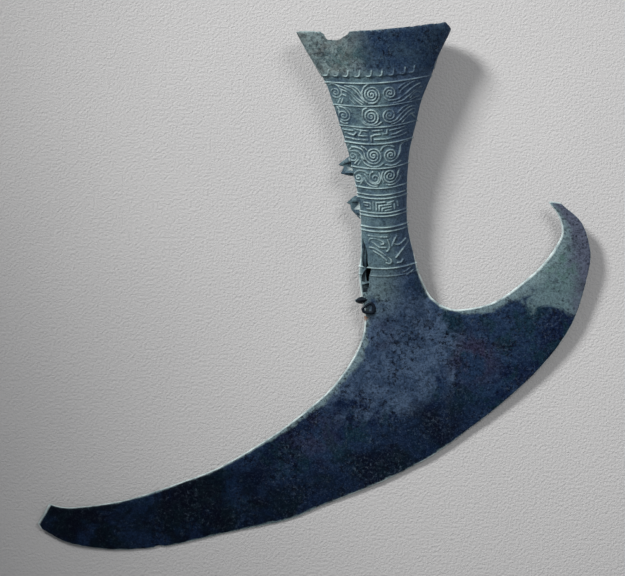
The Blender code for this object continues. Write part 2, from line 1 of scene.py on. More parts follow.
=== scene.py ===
"""An old bronze axe head, cast in one piece and blue-green with age, lying on its back on a pale floor.

The casting is drawn in its own middle plane, with x across, y up towards the mouth of the socket and the foot
of the socket at the origin, and is then laid down as the solids lie."""

import math

import bmesh
import bpy
import numpy as np
from mathutils import Matrix, Vector, noise


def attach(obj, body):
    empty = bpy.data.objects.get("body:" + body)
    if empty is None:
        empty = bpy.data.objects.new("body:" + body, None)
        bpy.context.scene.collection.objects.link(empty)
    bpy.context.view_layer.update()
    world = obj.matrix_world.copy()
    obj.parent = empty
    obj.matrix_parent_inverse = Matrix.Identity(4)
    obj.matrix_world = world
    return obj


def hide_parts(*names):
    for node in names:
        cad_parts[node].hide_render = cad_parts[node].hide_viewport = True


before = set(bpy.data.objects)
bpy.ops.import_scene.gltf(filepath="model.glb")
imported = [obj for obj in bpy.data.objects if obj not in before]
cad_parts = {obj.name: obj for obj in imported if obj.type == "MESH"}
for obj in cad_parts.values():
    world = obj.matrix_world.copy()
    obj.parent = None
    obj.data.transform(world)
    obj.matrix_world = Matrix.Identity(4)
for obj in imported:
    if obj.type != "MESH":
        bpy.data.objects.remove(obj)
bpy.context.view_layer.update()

MM = 0.001

# The socket, from the mouth down its leaning axis.
SOCKET_LENGTH = 226 * MM
SOCKET_LEAN = math.radians(3.6)
MOUTH_WIDTH = 120.4 * MM
MOUTH_DEPTH = 40 * MM
WAIST_WIDTH = 37.1 * MM
WAIST_DEPTH = 26 * MM
FOOT_DEPTH = 21 * MM
BULGE_FADE = 82 * MM
BULGE_SPREAD = 0.12
WALL = 2.8 * MM
BORE_LENGTH = 218 * MM
BORE_END_WIDTH = 24 * MM
RIM_SAG = 4.5 * MM
BAND_SAG = 5 * MM
WAIST_SAG = 3.7 * MM
FOOT_STRAIGHTENS = 0.6
WAIST_AT = 0.65
BANDS_END = 0.9
LIP_ROUNDING = 0.7 * MM
# The lip is worn uneven from this height up, over this much height. Both are in millimetres.
WORN_LIP_FROM = 220
WORN_LIP_FADE = 5
# Unevenness of the cast skin and of the worn lip: how high and how wide its swellings are, in millimetres.
SKIN_SWELLS = [(0.16, 17), (0.09, 6), (0.05, 2.1)]
LIP_SWELLS = [(0.9, 5), (0.5, 1.9)]

# Each side of the socket: share of the length from the mouth, share of the flare from waist to mouth.
LEFT_SIDE = [(0, 1), (0.087, 0.774), (0.181, 0.503), (0.254, 0.385), (0.335, 0.272), (0.405, 0.179),
             (0.463, 0.114), (0.535, 0.052), (0.59, 0.008), (0.674, -0.02), (0.792, 0.02), (0.88, 0.085)]
RIGHT_SIDE = [(0, 1), (0.02, 1.087), (0.037, 1.058), (0.087, 0.902), (0.132, 0.767), (0.183, 0.659),
              (0.268, 0.441), (0.346, 0.311), (0.439, 0.157), (0.511, 0.095), (0.565, 0.061),
              (0.677, 0.02), (0.749, 0.047), (0.823, 0.121), (0.88, 0.19)]

# The crescent blade. Its outline is in thousandths of its span, from the foot of the socket.
BLADE_SPAN = 442 * MM
BLADE_THICKNESS = 5.6 * MM
TIP_THICKNESS = 4.4 * MM
EDGE_THICKNESS = 1.2 * MM
EDGE_TAPER = 34 * MM
EDGE_ROUNDING = 0.6 * MM
LEFT_FOOT = [(-44, -16), (-48, -51), (-61, -82)]
LEFT_BACK = [(-61, -82), (-83, -117), (-123, -161), (-204, -224), (-296, -280), (-363, -308),
             (-473, -344), (-566, -358), (-599, -356), (-614, -351)]
BROKEN_TIP = [(-614, -351), (-635, -387), (-630, -396)]
LEFT_EDGE = [(-630, -396), (-589, -419), (-538, -431), (-473, -435), (-393, -427), (-296, -405),
             (-184, -381), (-118, -354), (-49, -327.5), (-12, -312)]
MIDDLE_EDGE = [(-12, -312), (20, -296), (50, -280.5), (79, -265), (113, -241)]
HORN_EDGE = [(113, -241), (205, -170), (281, -98), (334, -22), (363, 73), (364, 114), (349, 158),
             (310, 194)]
HORN_TIP = [(310, 194), (293, 196), (289, 194)]
HORN_INNER = [(93, 9), (127, 0), (191, 14), (247, 53), (283, 87), (310, 128), (313, 149), (305, 173),
              (289, 194)]
RIGHT_FOOT = [(74, 27), (93, 9)]
# Nicks in the cutting edge: place in millimetres, half width and depth.
NICKS = [((-184, -188), 5, 2.9), ((-189, -189), 2, 2.2), ((-214, -187), 2.5, 1), ((-60, -165), 3, 0.5),
         ((101, -73), 4, 0.5), ((150, -8), 3, 0.4), ((-120, -181), 3, 0.6)]

# Raised ornament, in millimetres: across from the axis, and down from the mouth along the middle of the face.
# Rings that run right round: how far down, height, half width.
RINGS = [(46.6, 0.85, 1), (64.8, 0.75, 0.8), (81.5, 0.8, 0.9), (94.7, 0.95, 1), (114.2, 0.9, 0.95),
         (129.9, 0.9, 0.95), (135.3, 0.85, 0.85), (138.2, 0.85, 0.85), (149.6, 0.85, 0.85),
         (152.2, 0.9, 0.95), (161.2, 0.95, 1), (164.3, 0.9, 0.95), (193.6, 0.85, 1), (199.6, 0.5, 0.85)]
# Sunk bands: how far down, depth, half width.
SUNK_BANDS = [(43.2, 0.6, 1.3), (48.4, 0.45, 0.9), (66.3, 0.35, 0.7), (83, 0.35, 0.7), (96.5, 0.5, 0.9),
              (115.9, 0.45, 0.8), (131.6, 0.45, 0.9), (136.7, 0.4, 0.7), (139.8, 0.35, 0.7),
              (150.9, 0.4, 0.7), (154, 0.45, 0.9), (162.7, 0.45, 0.8), (166.1, 0.45, 0.9), (196.4, 0.95, 1.7)]
# The plain mouth swells out a little to a scalloped hem just above the first ring.
HEM_AT = 41.4
HEM_HEIGHT = 0.65
HEM_FADE = 20
FRINGE = [-35.9, -28.3, -20.6, -11.6, -2.5, 6, 15.2, 24.2, 31.6]
# Scrolls: the line that leads in, and the middle that it winds round.
SCROLLS = [
    ([(-37, 49.2), (-33.5, 47.8), (-29.7, 48.9), (-27.3, 51.8)], (-31.3, 54.7)),
    ([(-6, 47.6), (-9, 49.8), (-10.6, 53.4)], (-3.3, 55.6)),
    ([(35.8, 51.1), (32.6, 52.1), (28.7, 54), (24.2, 57.1), (19.7, 59.7), (15.9, 60.9), (12.2, 61)],
     (11.3, 55.3)),
    ([(-29.1, 66), (-25.6, 66.8), (-22.3, 69.5)], (-26, 73.1)),
    ([(-7.8, 66), (-10.4, 67.5), (-11.4, 70.8)], (-4.7, 72.9)),
    ([(29.8, 68.9), (26, 68.9), (22.8, 70.5), (20.2, 72.4), (17.2, 75), (14.3, 77.3), (10.5, 78.2)],
     (10, 72.7)),
    ([(-12.1, 107), (-14, 104), (-16.5, 101.5), (-19.8, 101.4)], (-20.6, 106)),
    ([(-21, 98.2), (-17.3, 98.1), (-13.7, 99.3), (-11.9, 101.6), (-11.6, 104.5)], (-4.6, 103.8)),
    ([(23, 95.9), (19.1, 96.6), (17, 98.9), (16.6, 102.6), (15.1, 105.6), (12.5, 108.5), (8.6, 109.6)],
     (8.9, 104.3)),
    ([(-9.8, 118.4), (-12.2, 116.9), (-15.1, 116.6), (-18.1, 117.6), (-20.5, 120.4)], (-17.2, 122.7)),
    ([(-5.9, 116.6), (-8.2, 118.8), (-8.5, 121.6)], (-4.5, 121.9)),
    ([(15.3, 116.7), (13.9, 119.4), (13, 122.4), (10.6, 125), (7.2, 125.8)], (7.4, 120.6)),
]
SCROLL_PITCH = 2.35
# Separate strokes.
STROKES = [
    [(-29.4, 49.1), (-24.1, 50.6), (-18.9, 54), (-14.4, 58.7), (-9.8, 62.2)],
    [(-26.3, 52.1), (-22.6, 53.6), (-18.5, 57), (-14.5, 61.1), (-11, 63.4)],
    [(-24, 48.7), (-19.3, 50), (-15.2, 53.2), (-11.9, 57.4), (-9.6, 60.2)],
    [(-19.8, 48.5), (-15.6, 49.8), (-12.8, 52.5), (-11.4, 55)],
    [(-25.6, 56), (-22.6, 57.5), (-19.3, 60.3), (-16.4, 63)],
    [(-27.9, 59.6), (-29.6, 63)], [(-25.7, 59.4), (-27.2, 63)],
    [(31.5, 48.3), (27.7, 49.6), (23.9, 51.7), (20.3, 53.9), (19.4, 56)],
    [(27.8, 47.9), (24.7, 48.4), (20.9, 50.1), (18.3, 52)],
    [(36.9, 54.3), (33.1, 55.2), (28.5, 57.8), (24.9, 60.4), (20.1, 62.7), (13.9, 63.3)],
    [(36.1, 59), (33.3, 57.4), (30, 59), (26.9, 61.6)], [(34.7, 61.8), (31.5, 61.8), (27.2, 63.3)],
    [(-30.6, 66.6), (-29.2, 68.6), (-29.6, 70.3)], [(-24.6, 66.4), (-20.9, 67.8), (-19.6, 70.1)],
    [(-28.6, 78.2), (-26.4, 79.7), (-23.2, 79.2)],
    [(-13.2, 75.5), (-9.6, 79.1), (-5.5, 80), (-0.6, 79.7), (3.2, 77.6)],
    [(31, 71.8), (27.8, 71.4), (24.5, 72.9), (21.9, 74.9), (18.3, 77.6), (14.8, 79.4), (11.1, 80)],
    [(25.5, 67), (22.3, 67.6), (19.1, 69.6), (17.1, 71.4)],
    [(29.6, 74.5), (26, 75.2), (23, 77.4), (19.6, 79.9)], [(27.7, 75), (30.4, 78.6)],
    [(1.5, 99.6), (3, 97.5), (5.5, 96.5), (8.7, 96.6), (11.8, 98.2)],
    [(-23.6, 97), (-25.3, 99.8)], [(-22, 99.6), (-24.4, 103)],
    [(-16.8, 108.2), (-19.4, 111.7)], [(-14.8, 108.8), (-17, 112.4)],
    [(-13.4, 96.8), (-10.8, 98.2), (-9.7, 99.4)],
    [(-14.2, 105.6), (-12.6, 109.3), (-9.4, 111.7), (-5.1, 112.7), (-0.8, 112.2), (2.5, 110.2)],
    [(4.6, 111.4), (8.8, 112.7), (13.1, 112.2), (16.8, 110.6)],
    [(-12.6, 119.2), (-11, 120.9), (-8.6, 124.6), (-5.6, 126.3), (-2.5, 126)],
    [(-13.6, 123.4), (-15.6, 127.3)],
    [(-12.9, 122), (-11.4, 124.9), (-9.5, 127), (-6.6, 128.2), (-3, 128)],
    [(-1.1, 117.4), (-0.2, 120.9), (-0.9, 124.3), (-2.2, 126)],
    [(2.4, 116.5), (1, 119), (1, 122.4), (2.2, 125)],
    [(4.3, 127), (7.7, 127.9), (11.3, 127.2), (14.4, 125.2), (15.9, 122.4)],
]
# The two bands of frets: straight strokes.
FRETS = [
    [(-27.8, 84.4), (-24.3, 84.8), (-19.4, 84.8)],
    [(-25.8, 87.2), (-22.4, 87.8), (-18.9, 88.4), (-17.2, 86.2)],
    [(-13.2, 84.9), (-15.2, 88.4), (-8.2, 88.3)], [(-26, 90.8), (-17.4, 91.6), (-8.2, 91.4)],
    [(-18.6, 83.2), (-12, 84.2), (-7.5, 84.2)],
    [(-5.6, 92.4), (-5.6, 88.2), (-2.5, 87.3), (1.8, 87.1)],
    [(-3, 90.9), (5.8, 91.2), (11.2, 90.6), (16.7, 90.4), (22.4, 89.2)],
    [(-4.4, 84.3), (3.6, 83.9)], [(7.4, 84), (7, 86.9), (3.9, 87)],
    [(10.4, 88), (13.8, 88), (16.9, 86.9), (22.6, 86)], [(9.6, 84.6), (16.5, 84.2), (22.6, 83.4)],
    [(-14.2, 142.2), (-9.3, 142), (-9.3, 146.6), (-12, 146.6)], [(-13.6, 144.3), (-11.4, 144.3)],
    [(-7.2, 140.9), (-7.2, 146.8)], [(-4.8, 147.4), (-4.8, 141.3), (2, 140.9)],
    [(-2.6, 147.6), (-2.6, 143.7), (6.8, 143)], [(-0.4, 147.6), (-0.2, 145.7), (7, 145)],
    [(4.2, 141.8), (9, 141)], [(9.4, 143.2), (9.6, 147)], [(2, 147.7), (7.4, 147.2)],
    [(12, 141.8), (12.4, 145.6)],
]
PANEL = [
    [(-12.4, 168), (-5.7, 168.3), (2, 168.6)],
    [(-12.2, 172.6), (-11.3, 170.6), (-8.3, 169.9), (-4.8, 170.6), (-1.4, 172.3), (-0.9, 174), (-3, 174.2)],
    [(-10.2, 172.8), (-8, 173.9), (-6.1, 175.6), (-3.7, 176.8), (0.6, 176.9)],
    [(2.5, 171), (3.7, 175.4), (3.1, 178), (1.2, 180)],
    [(-12.2, 177.3), (-8.3, 177.6), (-4.4, 179.9), (0, 183), (3.8, 186.4), (4.4, 188.6), (2.6, 190),
     (0.4, 189)],
    [(-9.4, 179.8), (-5.5, 181.9), (-2.1, 184.3), (0.5, 187)],
    [(9.8, 168.6), (7.5, 171.8), (5.6, 176)], [(7.4, 174.8), (10.7, 175.8), (13.3, 174.8), (16.6, 172.6)],
    [(18.9, 174.8), (16.3, 177.9), (12.4, 181.4), (8.4, 185.4)], [(9.2, 189.6), (11.8, 189.8), (13.4, 188)],
    [(12.6, 198), (16, 197.2), (20.2, 195)], [(16, 200.4), (21.5, 198)],
]
STROKE_HEIGHT = 1.0
STROKE_HALF_WIDTH = 0.95
RIDGE_SHARPNESS = 1.3
# Pale rubbed crests and dark earth in the grooves are painted with light: the colour is read from the relief
# shifted this far across and down, so the pale lies on the upper left flanks as painted highlight and the
# dark on the lower right ones as painted shade.
PAINTED_LIGHT_SHIFT = (0.34, 0.3)
# Where rubbing has all but taken the ornament away: middle, reach, what is left of it.
RUBBED = [((-15.5, 73.5), 8.5, 0.12), ((-19, 57), 9, 0.55), ((10, 72), 6, 0.6), ((-22, 67), 6, 0.4),
          ((14, 146), 6, 0.4), ((-6, 172), 8, 0.7), ((24, 104), 9, 0.25)]
EDGE_OF_ORNAMENT = 0.93

# On the left seam, as places across and down: thin webs of lost lugs.
STUBS = [
    [(-20.6, 100), (-24.8, 102.3), (-29, 105), (-32.9, 107.8), (-31, 109), (-28.6, 109.4), (-29.6, 112),
     (-31.6, 114.9), (-27, 116.6), (-22.6, 117.6), (-17.4, 118.4), (-16, 109)],
    [(-15.2, 131.6), (-21.6, 133.7), (-25, 136.2), (-28.2, 138.7), (-26.4, 139.6), (-25, 140.8), (-25.2, 143),
     (-24.4, 145.2), (-21.4, 148.6), (-18.6, 152), (-14, 152.6), (-13, 142)],
    [(-15, 213.2), (-18.5, 213.4), (-22, 214.2), (-26.6, 216.6), (-25.8, 218.6), (-23.4, 219.8), (-19, 220.6),
     (-15, 218)],
]
STUB_THICKNESS = 2.4 * MM
# The thorns that the broken lugs have left: upper and lower edge out to the point, and thickness.
THORNS = [
    ([(-15, 99), (-20.6, 100), (-24.8, 102.3), (-29, 105), (-32.9, 107.8)],
     [(-15, 108.6), (-20.6, 108.8), (-24.8, 109), (-29, 109.3), (-32.9, 107.8)], 6),
    ([(-14, 112), (-20, 112.4), (-25, 112.8), (-28.8, 113.4), (-31.6, 114.9)],
     [(-14, 119), (-19, 118.4), (-24, 117.4), (-28.4, 116.2), (-31.6, 114.9)], 5.6),
    ([(-12, 131), (-17.5, 132.4), (-21.6, 133.7), (-25, 136.2), (-28.2, 138.7)],
     [(-12, 141.6), (-17.5, 141.4), (-21.6, 141), (-25.4, 140.2), (-28.2, 138.7)], 6),
    ([(-11, 145.4), (-15, 144.8), (-20, 144.6), (-24.4, 145.2)],
     [(-11, 152.8), (-15, 152.6), (-19.6, 150.4), (-24.4, 145.2)], 4.6),
    ([(-13, 213.2), (-18, 213.4), (-22.6, 214.6), (-26.6, 217)],
     [(-13, 219.8), (-18, 220.6), (-23.2, 219.8), (-26.6, 217)], 11.6),
]
DARK_THORN = 4
# The one whole lug, a ring, and how high over the middle plane its wire runs.
LUG_LOOP = [(-20.8, 223.9), (-17.2, 221.6), (-13.6, 220.1), (-11.6, 223.2), (-12.8, 227.4), (-16.6, 227.5),
            (-19.9, 226.6)]
LUG_THICKNESS = 2.5 * MM
LUG_THICKEST = 4.0 * MM
LUG_LIFT = 5.7 * MM
# How finely the thorns and the lug are divided, round them and along them.
ROUND_WIRE = 12
ALONG_THORN = 9
ALONG_LUG = 36
# The chip in the rim, and the open slots beside the seam with the height that they are cut down to.
CHIP = [(-40.6, -8), (-40.4, 0), (-40, 3.4), (-38.4, 4.4), (-37.5, 6.1), (-36.3, 8.6), (-34.9, 9.4),
        (-31.5, 9.9), (-28, 10.4), (-25.4, 9.9), (-22.6, 7.9), (-19.6, 6.8), (-17.5, 4), (-11, -8)]
SLOTS = [
    [(-18.9, 168.6), (-17.2, 168.4), (-16.2, 172), (-14.9, 176), (-14.3, 181), (-14.6, 186), (-14, 190.6),
     (-16.4, 191.6), (-18.8, 190), (-18.7, 185), (-19.3, 180), (-18.9, 174)],
    [(-19.6, 196.8), (-17.2, 193.4), (-15, 191.8), (-12, 192.4), (-13, 196), (-14.2, 199), (-14.4, 202.4),
     (-18, 203), (-20, 202), (-20.2, 199)],
    [(-20.2, 204.8), (-14.4, 203.7), (-14.8, 207), (-16.2, 210.8), (-19.6, 211)],
]
SLOT_DEPTH = 9 * MM
SLOT_FLOOR = 3.9 * MM

# The finish reads how far the ornament is raised. These places are coloured as if they were raised or sunk by
# so much, and the painted highlight along a corner stops where it is less than NO_LINE_BELOW. All are in
# metres.
LIP_RAISED = 0.0005
# The walls of the slots are coloured as sunk, so they come out dark: painted shade in the openings.
SLOT_RAISED = -0.0002
THORN_RAISED = -0.00005
# The thorns' upper sides are painted pale as highlight and their lower sides dark as shade, by this much.
THORN_SHADE = 0.0003
DARK_THORN_RAISED = -0.0008
LUG_RAISED = -0.001
NO_LINE_BELOW = -0.00045

# How the axe lies, as the solids do: which way its middle plane turns, and where the drawing's origin comes.
LYING_ON = Vector((0.013943, -0.063935, 0.997857))
LAID_AT = Vector((59.2776, -18.5238, 10.2418)) * MM
# Where the camera is in the drawing, square over the middle plane.
CAMERA_AT = Vector((-60.92, 17.18, 1600)) * MM
CAMERA_LENS = 115.2
CAMERA_SENSOR = 36
SHARP_FROM = math.radians(48)

# How finely the casting is divided.
FACE_COLUMNS = 160
BACK_COLUMNS = 32
FIRST_ROW = 0.6 * MM
ROW_GAP = 0.54 * MM
PLAIN_ROW_GAP = 2.4 * MM
AT_THE_SIDE = 0.99999
BLADE_ROWS = 32
WING_COLUMNS = 110
HORN_COLUMNS = 84
MERGE = 0.004 * MM

UP = np.array([-math.sin(SOCKET_LEAN), math.cos(SOCKET_LEAN)])
SIDE = np.array([math.cos(SOCKET_LEAN), math.sin(SOCKET_LEAN)])


def fair_curve(x, stations):
    """A smooth curve through the stations, read at x."""
    xs, ys = np.array(stations, float).T
    slopes = np.gradient(ys, xs)
    x = np.clip(x, xs[0], xs[-1])
    i = np.clip(np.searchsorted(xs, x) - 1, 0, len(xs) - 2)
    width = xs[i + 1] - xs[i]
    t = (x - xs[i]) / width
    return ((2 * t**3 - 3 * t**2 + 1) * ys[i] + (t**3 - 2 * t**2 + t) * width * slopes[i]
            + (3 * t**2 - 2 * t**3) * ys[i + 1] + (t**3 - t**2) * width * slopes[i + 1])


def ease(t):
    t = np.clip(t, 0, 1)
    return t * t * (3 - 2 * t)


def evenly(points, count):
    """Points spaced evenly along straight runs."""
    points = np.array(points, float)
    run = np.concatenate([[0], np.cumsum(np.linalg.norm(np.diff(points, axis=0), axis=1))])
    return at_shares(points, run / run[-1], np.linspace(0, 1, count))


def at_shares(points, run, shares):
    return np.stack([np.interp(shares, run, points[:, k]) for k in range(points.shape[1])], axis=1)


def through(points, count):
    """Points spaced evenly along a smooth curve through the given ones."""
    points = np.array(points, float)
    p = np.concatenate([[2 * points[0] - points[1]], points, [2 * points[-1] - points[-2]]])
    t = np.linspace(0, 1, 24, endpoint=False)[None, :, None]
    p0, p1, p2, p3 = (p[k:len(p) - 3 + k][:, None] for k in range(4))
    dense = 0.5 * (2 * p1 + (p2 - p0) * t + (2 * p0 - 5 * p1 + 4 * p2 - p3) * t**2
                   + (3 * p1 - p0 - 3 * p2 + p3) * t**3)
    return evenly(np.concatenate([dense.reshape(-1, 2), points[-1:]]), count)


def blade_points(thousandths):
    return np.array(thousandths, float) / 1000 * BLADE_SPAN


def on_plane(across, down):
    """A place on the middle plane, from its distance across the axis and down from the mouth."""
    return np.multiply.outer(SOCKET_LENGTH - np.asarray(down), UP) + np.multiply.outer(across, SIDE)


def across_and_down(points):
    return points @ SIDE, SOCKET_LENGTH - points @ UP


def side_of_socket(sides, foot):
    """The outline of one side of the socket, from the mouth down to where the blade begins."""
    sign = -1 if sides is LEFT_SIDE else 1
    flare = (MOUTH_WIDTH - WAIST_WIDTH) / 2
    stations = [on_plane(sign * (WAIST_WIDTH / 2 + share * flare), d * SOCKET_LENGTH) for d, share in sides]
    return through([*stations, *blade_points(foot)], 600)


LEFT_OUTLINE = side_of_socket(LEFT_SIDE, LEFT_FOOT)
RIGHT_OUTLINE = side_of_socket(RIGHT_SIDE, RIGHT_FOOT)


def outline_at(outline, down):
    across, along = across_and_down(outline)
    return np.interp(down, along, np.abs(across))


def sag(down):
    """How much lower a ring runs at the middle of the face than at the sides of the socket."""
    stations = [(0, RIM_SAG), (0.2, BAND_SAG), (0.3, BAND_SAG), (WAIST_AT, WAIST_SAG), (1, WAIST_SAG)]
    return fair_curve(np.asarray(down) / SOCKET_LENGTH, stations)


def socket_half_depth(down):
    waist = WAIST_AT * SOCKET_LENGTH
    flare = np.clip(1 - down / waist, 0, 1) ** 1.7
    upper = WAIST_DEPTH / 2 + flare * (MOUTH_DEPTH - WAIST_DEPTH) / 2
    lower = (FOOT_DEPTH - WAIST_DEPTH) / 2 * ease((down - waist) / (SOCKET_LENGTH - waist))
    return (upper + lower) * (1 - ease((down - BANDS_END * SOCKET_LENGTH) / BULGE_FADE))


def bulge_sides(down):
    """Left and right half width of the socket's body, which runs on under the bands into the blade."""
    end = BANDS_END * SOCKET_LENGTH
    widths = []
    for outline in (LEFT_OUTLINE, RIGHT_OUTLINE):
        at_outline = outline_at(outline, down)
        spreading = outline_at(outline, end) + BULGE_SPREAD * (down - end)
        widths.append(np.where(down < end, at_outline, np.minimum(spreading, at_outline)))
    return widths


def distance_to(points, line, breadths=None):
    """Distance from each point to a line of straight runs, or its share of the breadth that each run has."""
    best = np.full(len(points), np.inf)
    for k, (a, b) in enumerate(zip(line[:-1], line[1:])):
        run = b - a
        off = points - a
        t = np.clip(off @ run / max(run @ run, 1e-18), 0, 1)
        away = (off[:, 0] - t * run[0]) ** 2 + (off[:, 1] - t * run[1]) ** 2
        best = np.minimum(best, away if breadths is None else away / breadths[k] ** 2)
    return np.sqrt(best)


def old_edge(line, unevenness):
    """A cutting edge as the years have left it: a little wavy, with its nicks. The ends stay put."""
    ahead = np.gradient(line, axis=0)
    ahead /= np.linalg.norm(ahead, axis=1)[:, None]
    inward = np.column_stack([-ahead[:, 1], ahead[:, 0]])
    depth = np.zeros(len(line))
    for k, (x, y) in enumerate(line / MM):
        depth[k] = unevenness * abs(noise.noise(Vector((x / 7, y / 7, 3.1))))
        depth[k] += unevenness * 0.6 * abs(noise.noise(Vector((x / 2.2, y / 2.2, 8.7))))
    for place, half_width, sunk in NICKS:
        off = np.linalg.norm(line / MM - np.array(place), axis=1) / half_width
        depth = np.maximum(depth, sunk * (1 - ease(off)))
    run = np.minimum(np.arange(len(line)), np.arange(len(line))[::-1]) / 12
    return line + inward * (depth * ease(run))[:, None] * MM


LEFT_EDGE_LINE = old_edge(through(blade_points(LEFT_EDGE), 900), 0.5)
MIDDLE_EDGE_LINE = old_edge(through(blade_points(MIDDLE_EDGE), 500), 0.4)
HORN_EDGE_LINE = old_edge(through(blade_points(HORN_EDGE), 900), 0.35)
LEFT_BACK_LINE = old_edge(through(blade_points(LEFT_BACK), 600)[::-1], 0.3)[::-1]
HORN_INNER_LINE = through(blade_points(HORN_INNER), 500)
# Lines along which the blade is bevelled, with breadths in millimetres at shares of each line: of the bevel,
# of the painted highlight along its corner, and of the pale band that fades out beside it, pale patina with
# painted light where the bevel faces the lamp.
BEVELS = [
    (evenly(LEFT_OUTLINE, 160), [(0, 4.6), (1, 5.8)],
     [(0, 0.1), (0.66, 0.3), (0.72, 1.3), (0.9, 1.8), (1, 1.8)], [(0, 0.1), (0.7, 0.3), (0.8, 6), (1, 8)]),
    (evenly(RIGHT_OUTLINE, 160), [(0, 4.6), (1, 4.6)],
     [(0, 0.1), (0.8, 0.5), (0.86, 2), (1, 2.2)], [(0, 0.1), (0.8, 0.6), (0.86, 2.6), (1, 4)]),
    (evenly(LEFT_BACK_LINE, 90), [(0, 5.8), (0.22, 3.2), (1, 2.2)],
     [(0, 1.8), (0.2, 1.6), (0.6, 1.2), (1, 0.7)], [(0, 10), (0.12, 8), (0.24, 5), (0.4, 3), (1, 1.4)]),
    (evenly(blade_points(BROKEN_TIP), 12), [(0, 1.2), (1, 1.2)], [(0, 0.3), (1, 0.3)], [(0, 0.5), (1, 0.5)]),
    (evenly(HORN_INNER_LINE, 90), [(0, 4.6), (0.2, 6.6), (0.75, 6), (1, 2)],
     [(0, 2.2), (0.12, 1.5), (0.4, 2), (0.7, 2.6), (0.9, 1.6), (1, 0.7)],
     [(0, 4), (0.12, 5), (0.3, 10), (0.6, 15), (0.8, 11), (1, 2)]),
    (evenly(blade_points(HORN_TIP), 12), [(0, 2), (1, 2)], [(0, 0.4), (1, 0.4)], [(0, 0.8), (1, 0.8)]),
]
CUTTING = np.concatenate([evenly(e, 110) for e in (LEFT_EDGE_LINE, MIDDLE_EDGE_LINE, HORN_EDGE_LINE)])
# Breadths along the cutting edge, at shares of its length: of its painted highlight, and of the pale band
# beside it.
CUTTING_BRIGHT = [(0, 0.2), (0.1, 0.25), (0.2, 0.5), (0.36, 0.6), (0.42, 0.2), (0.6, 0.5), (0.7, 0.2),
                  (1, 0.2)]
CUTTING_PALE = [(0, 0.4), (0.1, 0.8), (0.2, 1.8), (0.36, 2), (0.42, 0.8), (0.6, 1.6), (0.7, 0.6), (1, 0.5)]


def blade_height(points):
    """Half the thickness of the blade: rounded backs, and a long thin taper to the cutting edge."""
    to_edge = distance_to(points, CUTTING)
    reach = np.clip(np.linalg.norm(points, axis=1) / (0.65 * BLADE_SPAN), 0, 1)
    body = (BLADE_THICKNESS + (TIP_THICKNESS - BLADE_THICKNESS) * reach) / 2
    height = EDGE_THICKNESS / 2 + (body - EDGE_THICKNESS / 2) * (1 - np.exp(-to_edge / EDGE_TAPER))
    height = height * np.sqrt(1 - (1 - np.clip(to_edge / EDGE_ROUNDING, 0, 1)) ** 2)
    for line, breadth, _, _ in BEVELS:
        off = np.clip(distance_to(points, line, breadths_along(line, breadth)), 0, 1)
        corner = np.sqrt(1 - (1 - np.clip(off / 0.12, 0, 1)) ** 2)
        height = height * (0.42 * corner + 0.58 * off)
    return height


def breadths_along(line, stations):
    shares, breadths = np.array(stations, float).T
    return np.interp(np.linspace(0, 1, len(line) - 1), shares, breadths) * MM


def socket_height(points):
    """Half the depth of the socket's oval body, and the way out of its surface."""
    across, down = across_and_down(points)
    left, right = bulge_sides(down)
    half, middle = (left + right) / 2, (right - left) / 2
    share = np.clip((across - middle) / half, -1, 1)
    depth = socket_half_depth(down)
    rise = np.sqrt(1 - share**2)
    outward = np.stack([share / half, rise / np.maximum(depth, MM)], axis=1)
    outward /= np.linalg.norm(outward, axis=1)[:, None]
    return depth * rise, outward


def surface(points, relief=0):
    """The upper surface over the given places of the middle plane, with raised ornament on it."""
    bulge, outward = socket_height(points)
    height = (bulge**4 + blade_height(points) ** 4) ** 0.25
    relief = np.broadcast_to(relief, len(points))[:, None]
    flat = points + relief * outward[:, :1] * SIDE
    return np.column_stack([flat, height + relief[:, 0] * outward[:, 1]])


def row_point(share, label, droop=1):
    """A place on a row: share runs from -1 at the left outline to 1 at the right. Below the bands the rows
    turn to the feet."""
    start = BANDS_END * SOCKET_LENGTH
    turn = np.clip((label - start) / (SOCKET_LENGTH - start), 0, 1)
    left_foot, right_foot = (across_and_down(blade_points([foot[-1]]))[1][0]
                             for foot in (LEFT_FOOT, RIGHT_FOOT))
    left_down = (1 - turn) * np.minimum(label, start) + turn * left_foot
    right_down = (1 - turn) * np.minimum(label, start) + turn * right_foot
    left, right = -outline_at(LEFT_OUTLINE, left_down), outline_at(RIGHT_OUTLINE, right_down)
    across = (left * (1 - share) + right * (1 + share)) / 2
    down = (left_down * (1 - share) + right_down * (1 + share)) / 2
    down = down + droop * sag(label) * (1 - FOOT_STRAIGHTENS * turn) * (1 - share**2)
    return on_plane(across, down)


def row_label(ring):
    """The label of the row that runs through a place this far down the middle of the face."""
    label = ring * MM
    for _ in range(6):
        label = ring * MM - float(sag(label))
    return label


def face_shares(count):
    """Columns across the oval face, as far apart on its steep sides as on its middle."""
    angle = np.linspace(0, math.pi, 2001)
    pace = np.hypot(np.sin(angle), 0.5)
    run = np.concatenate([[0], np.cumsum((pace[1:] + pace[:-1]) / 2)])
    return -np.cos(np.interp(np.linspace(0, 1, count + 1), run / run[-1], angle))


def socket_rows():
    """Labels of the socket's rows: close together in the ornament, with one on the crest of each ring."""
    crests = [row_label(r) for r, _, _ in RINGS]
    bands = [(FIRST_ROW, row_label(34), PLAIN_ROW_GAP), (row_label(34), crests[0], ROW_GAP)]
    bands += [(a, b, ROW_GAP) for a, b in zip(crests[:-1], crests[1:])]
    bands += [(crests[-1], crests[-1] + 3 * MM, ROW_GAP), (crests[-1] + 3 * MM, SOCKET_LENGTH, PLAIN_ROW_GAP)]
    labels = [FIRST_ROW]
    for above, below, gap in bands:
        labels += list(np.linspace(above, below, max(2, round((below - above) / gap) + 1))[1:])
    return np.array(labels)


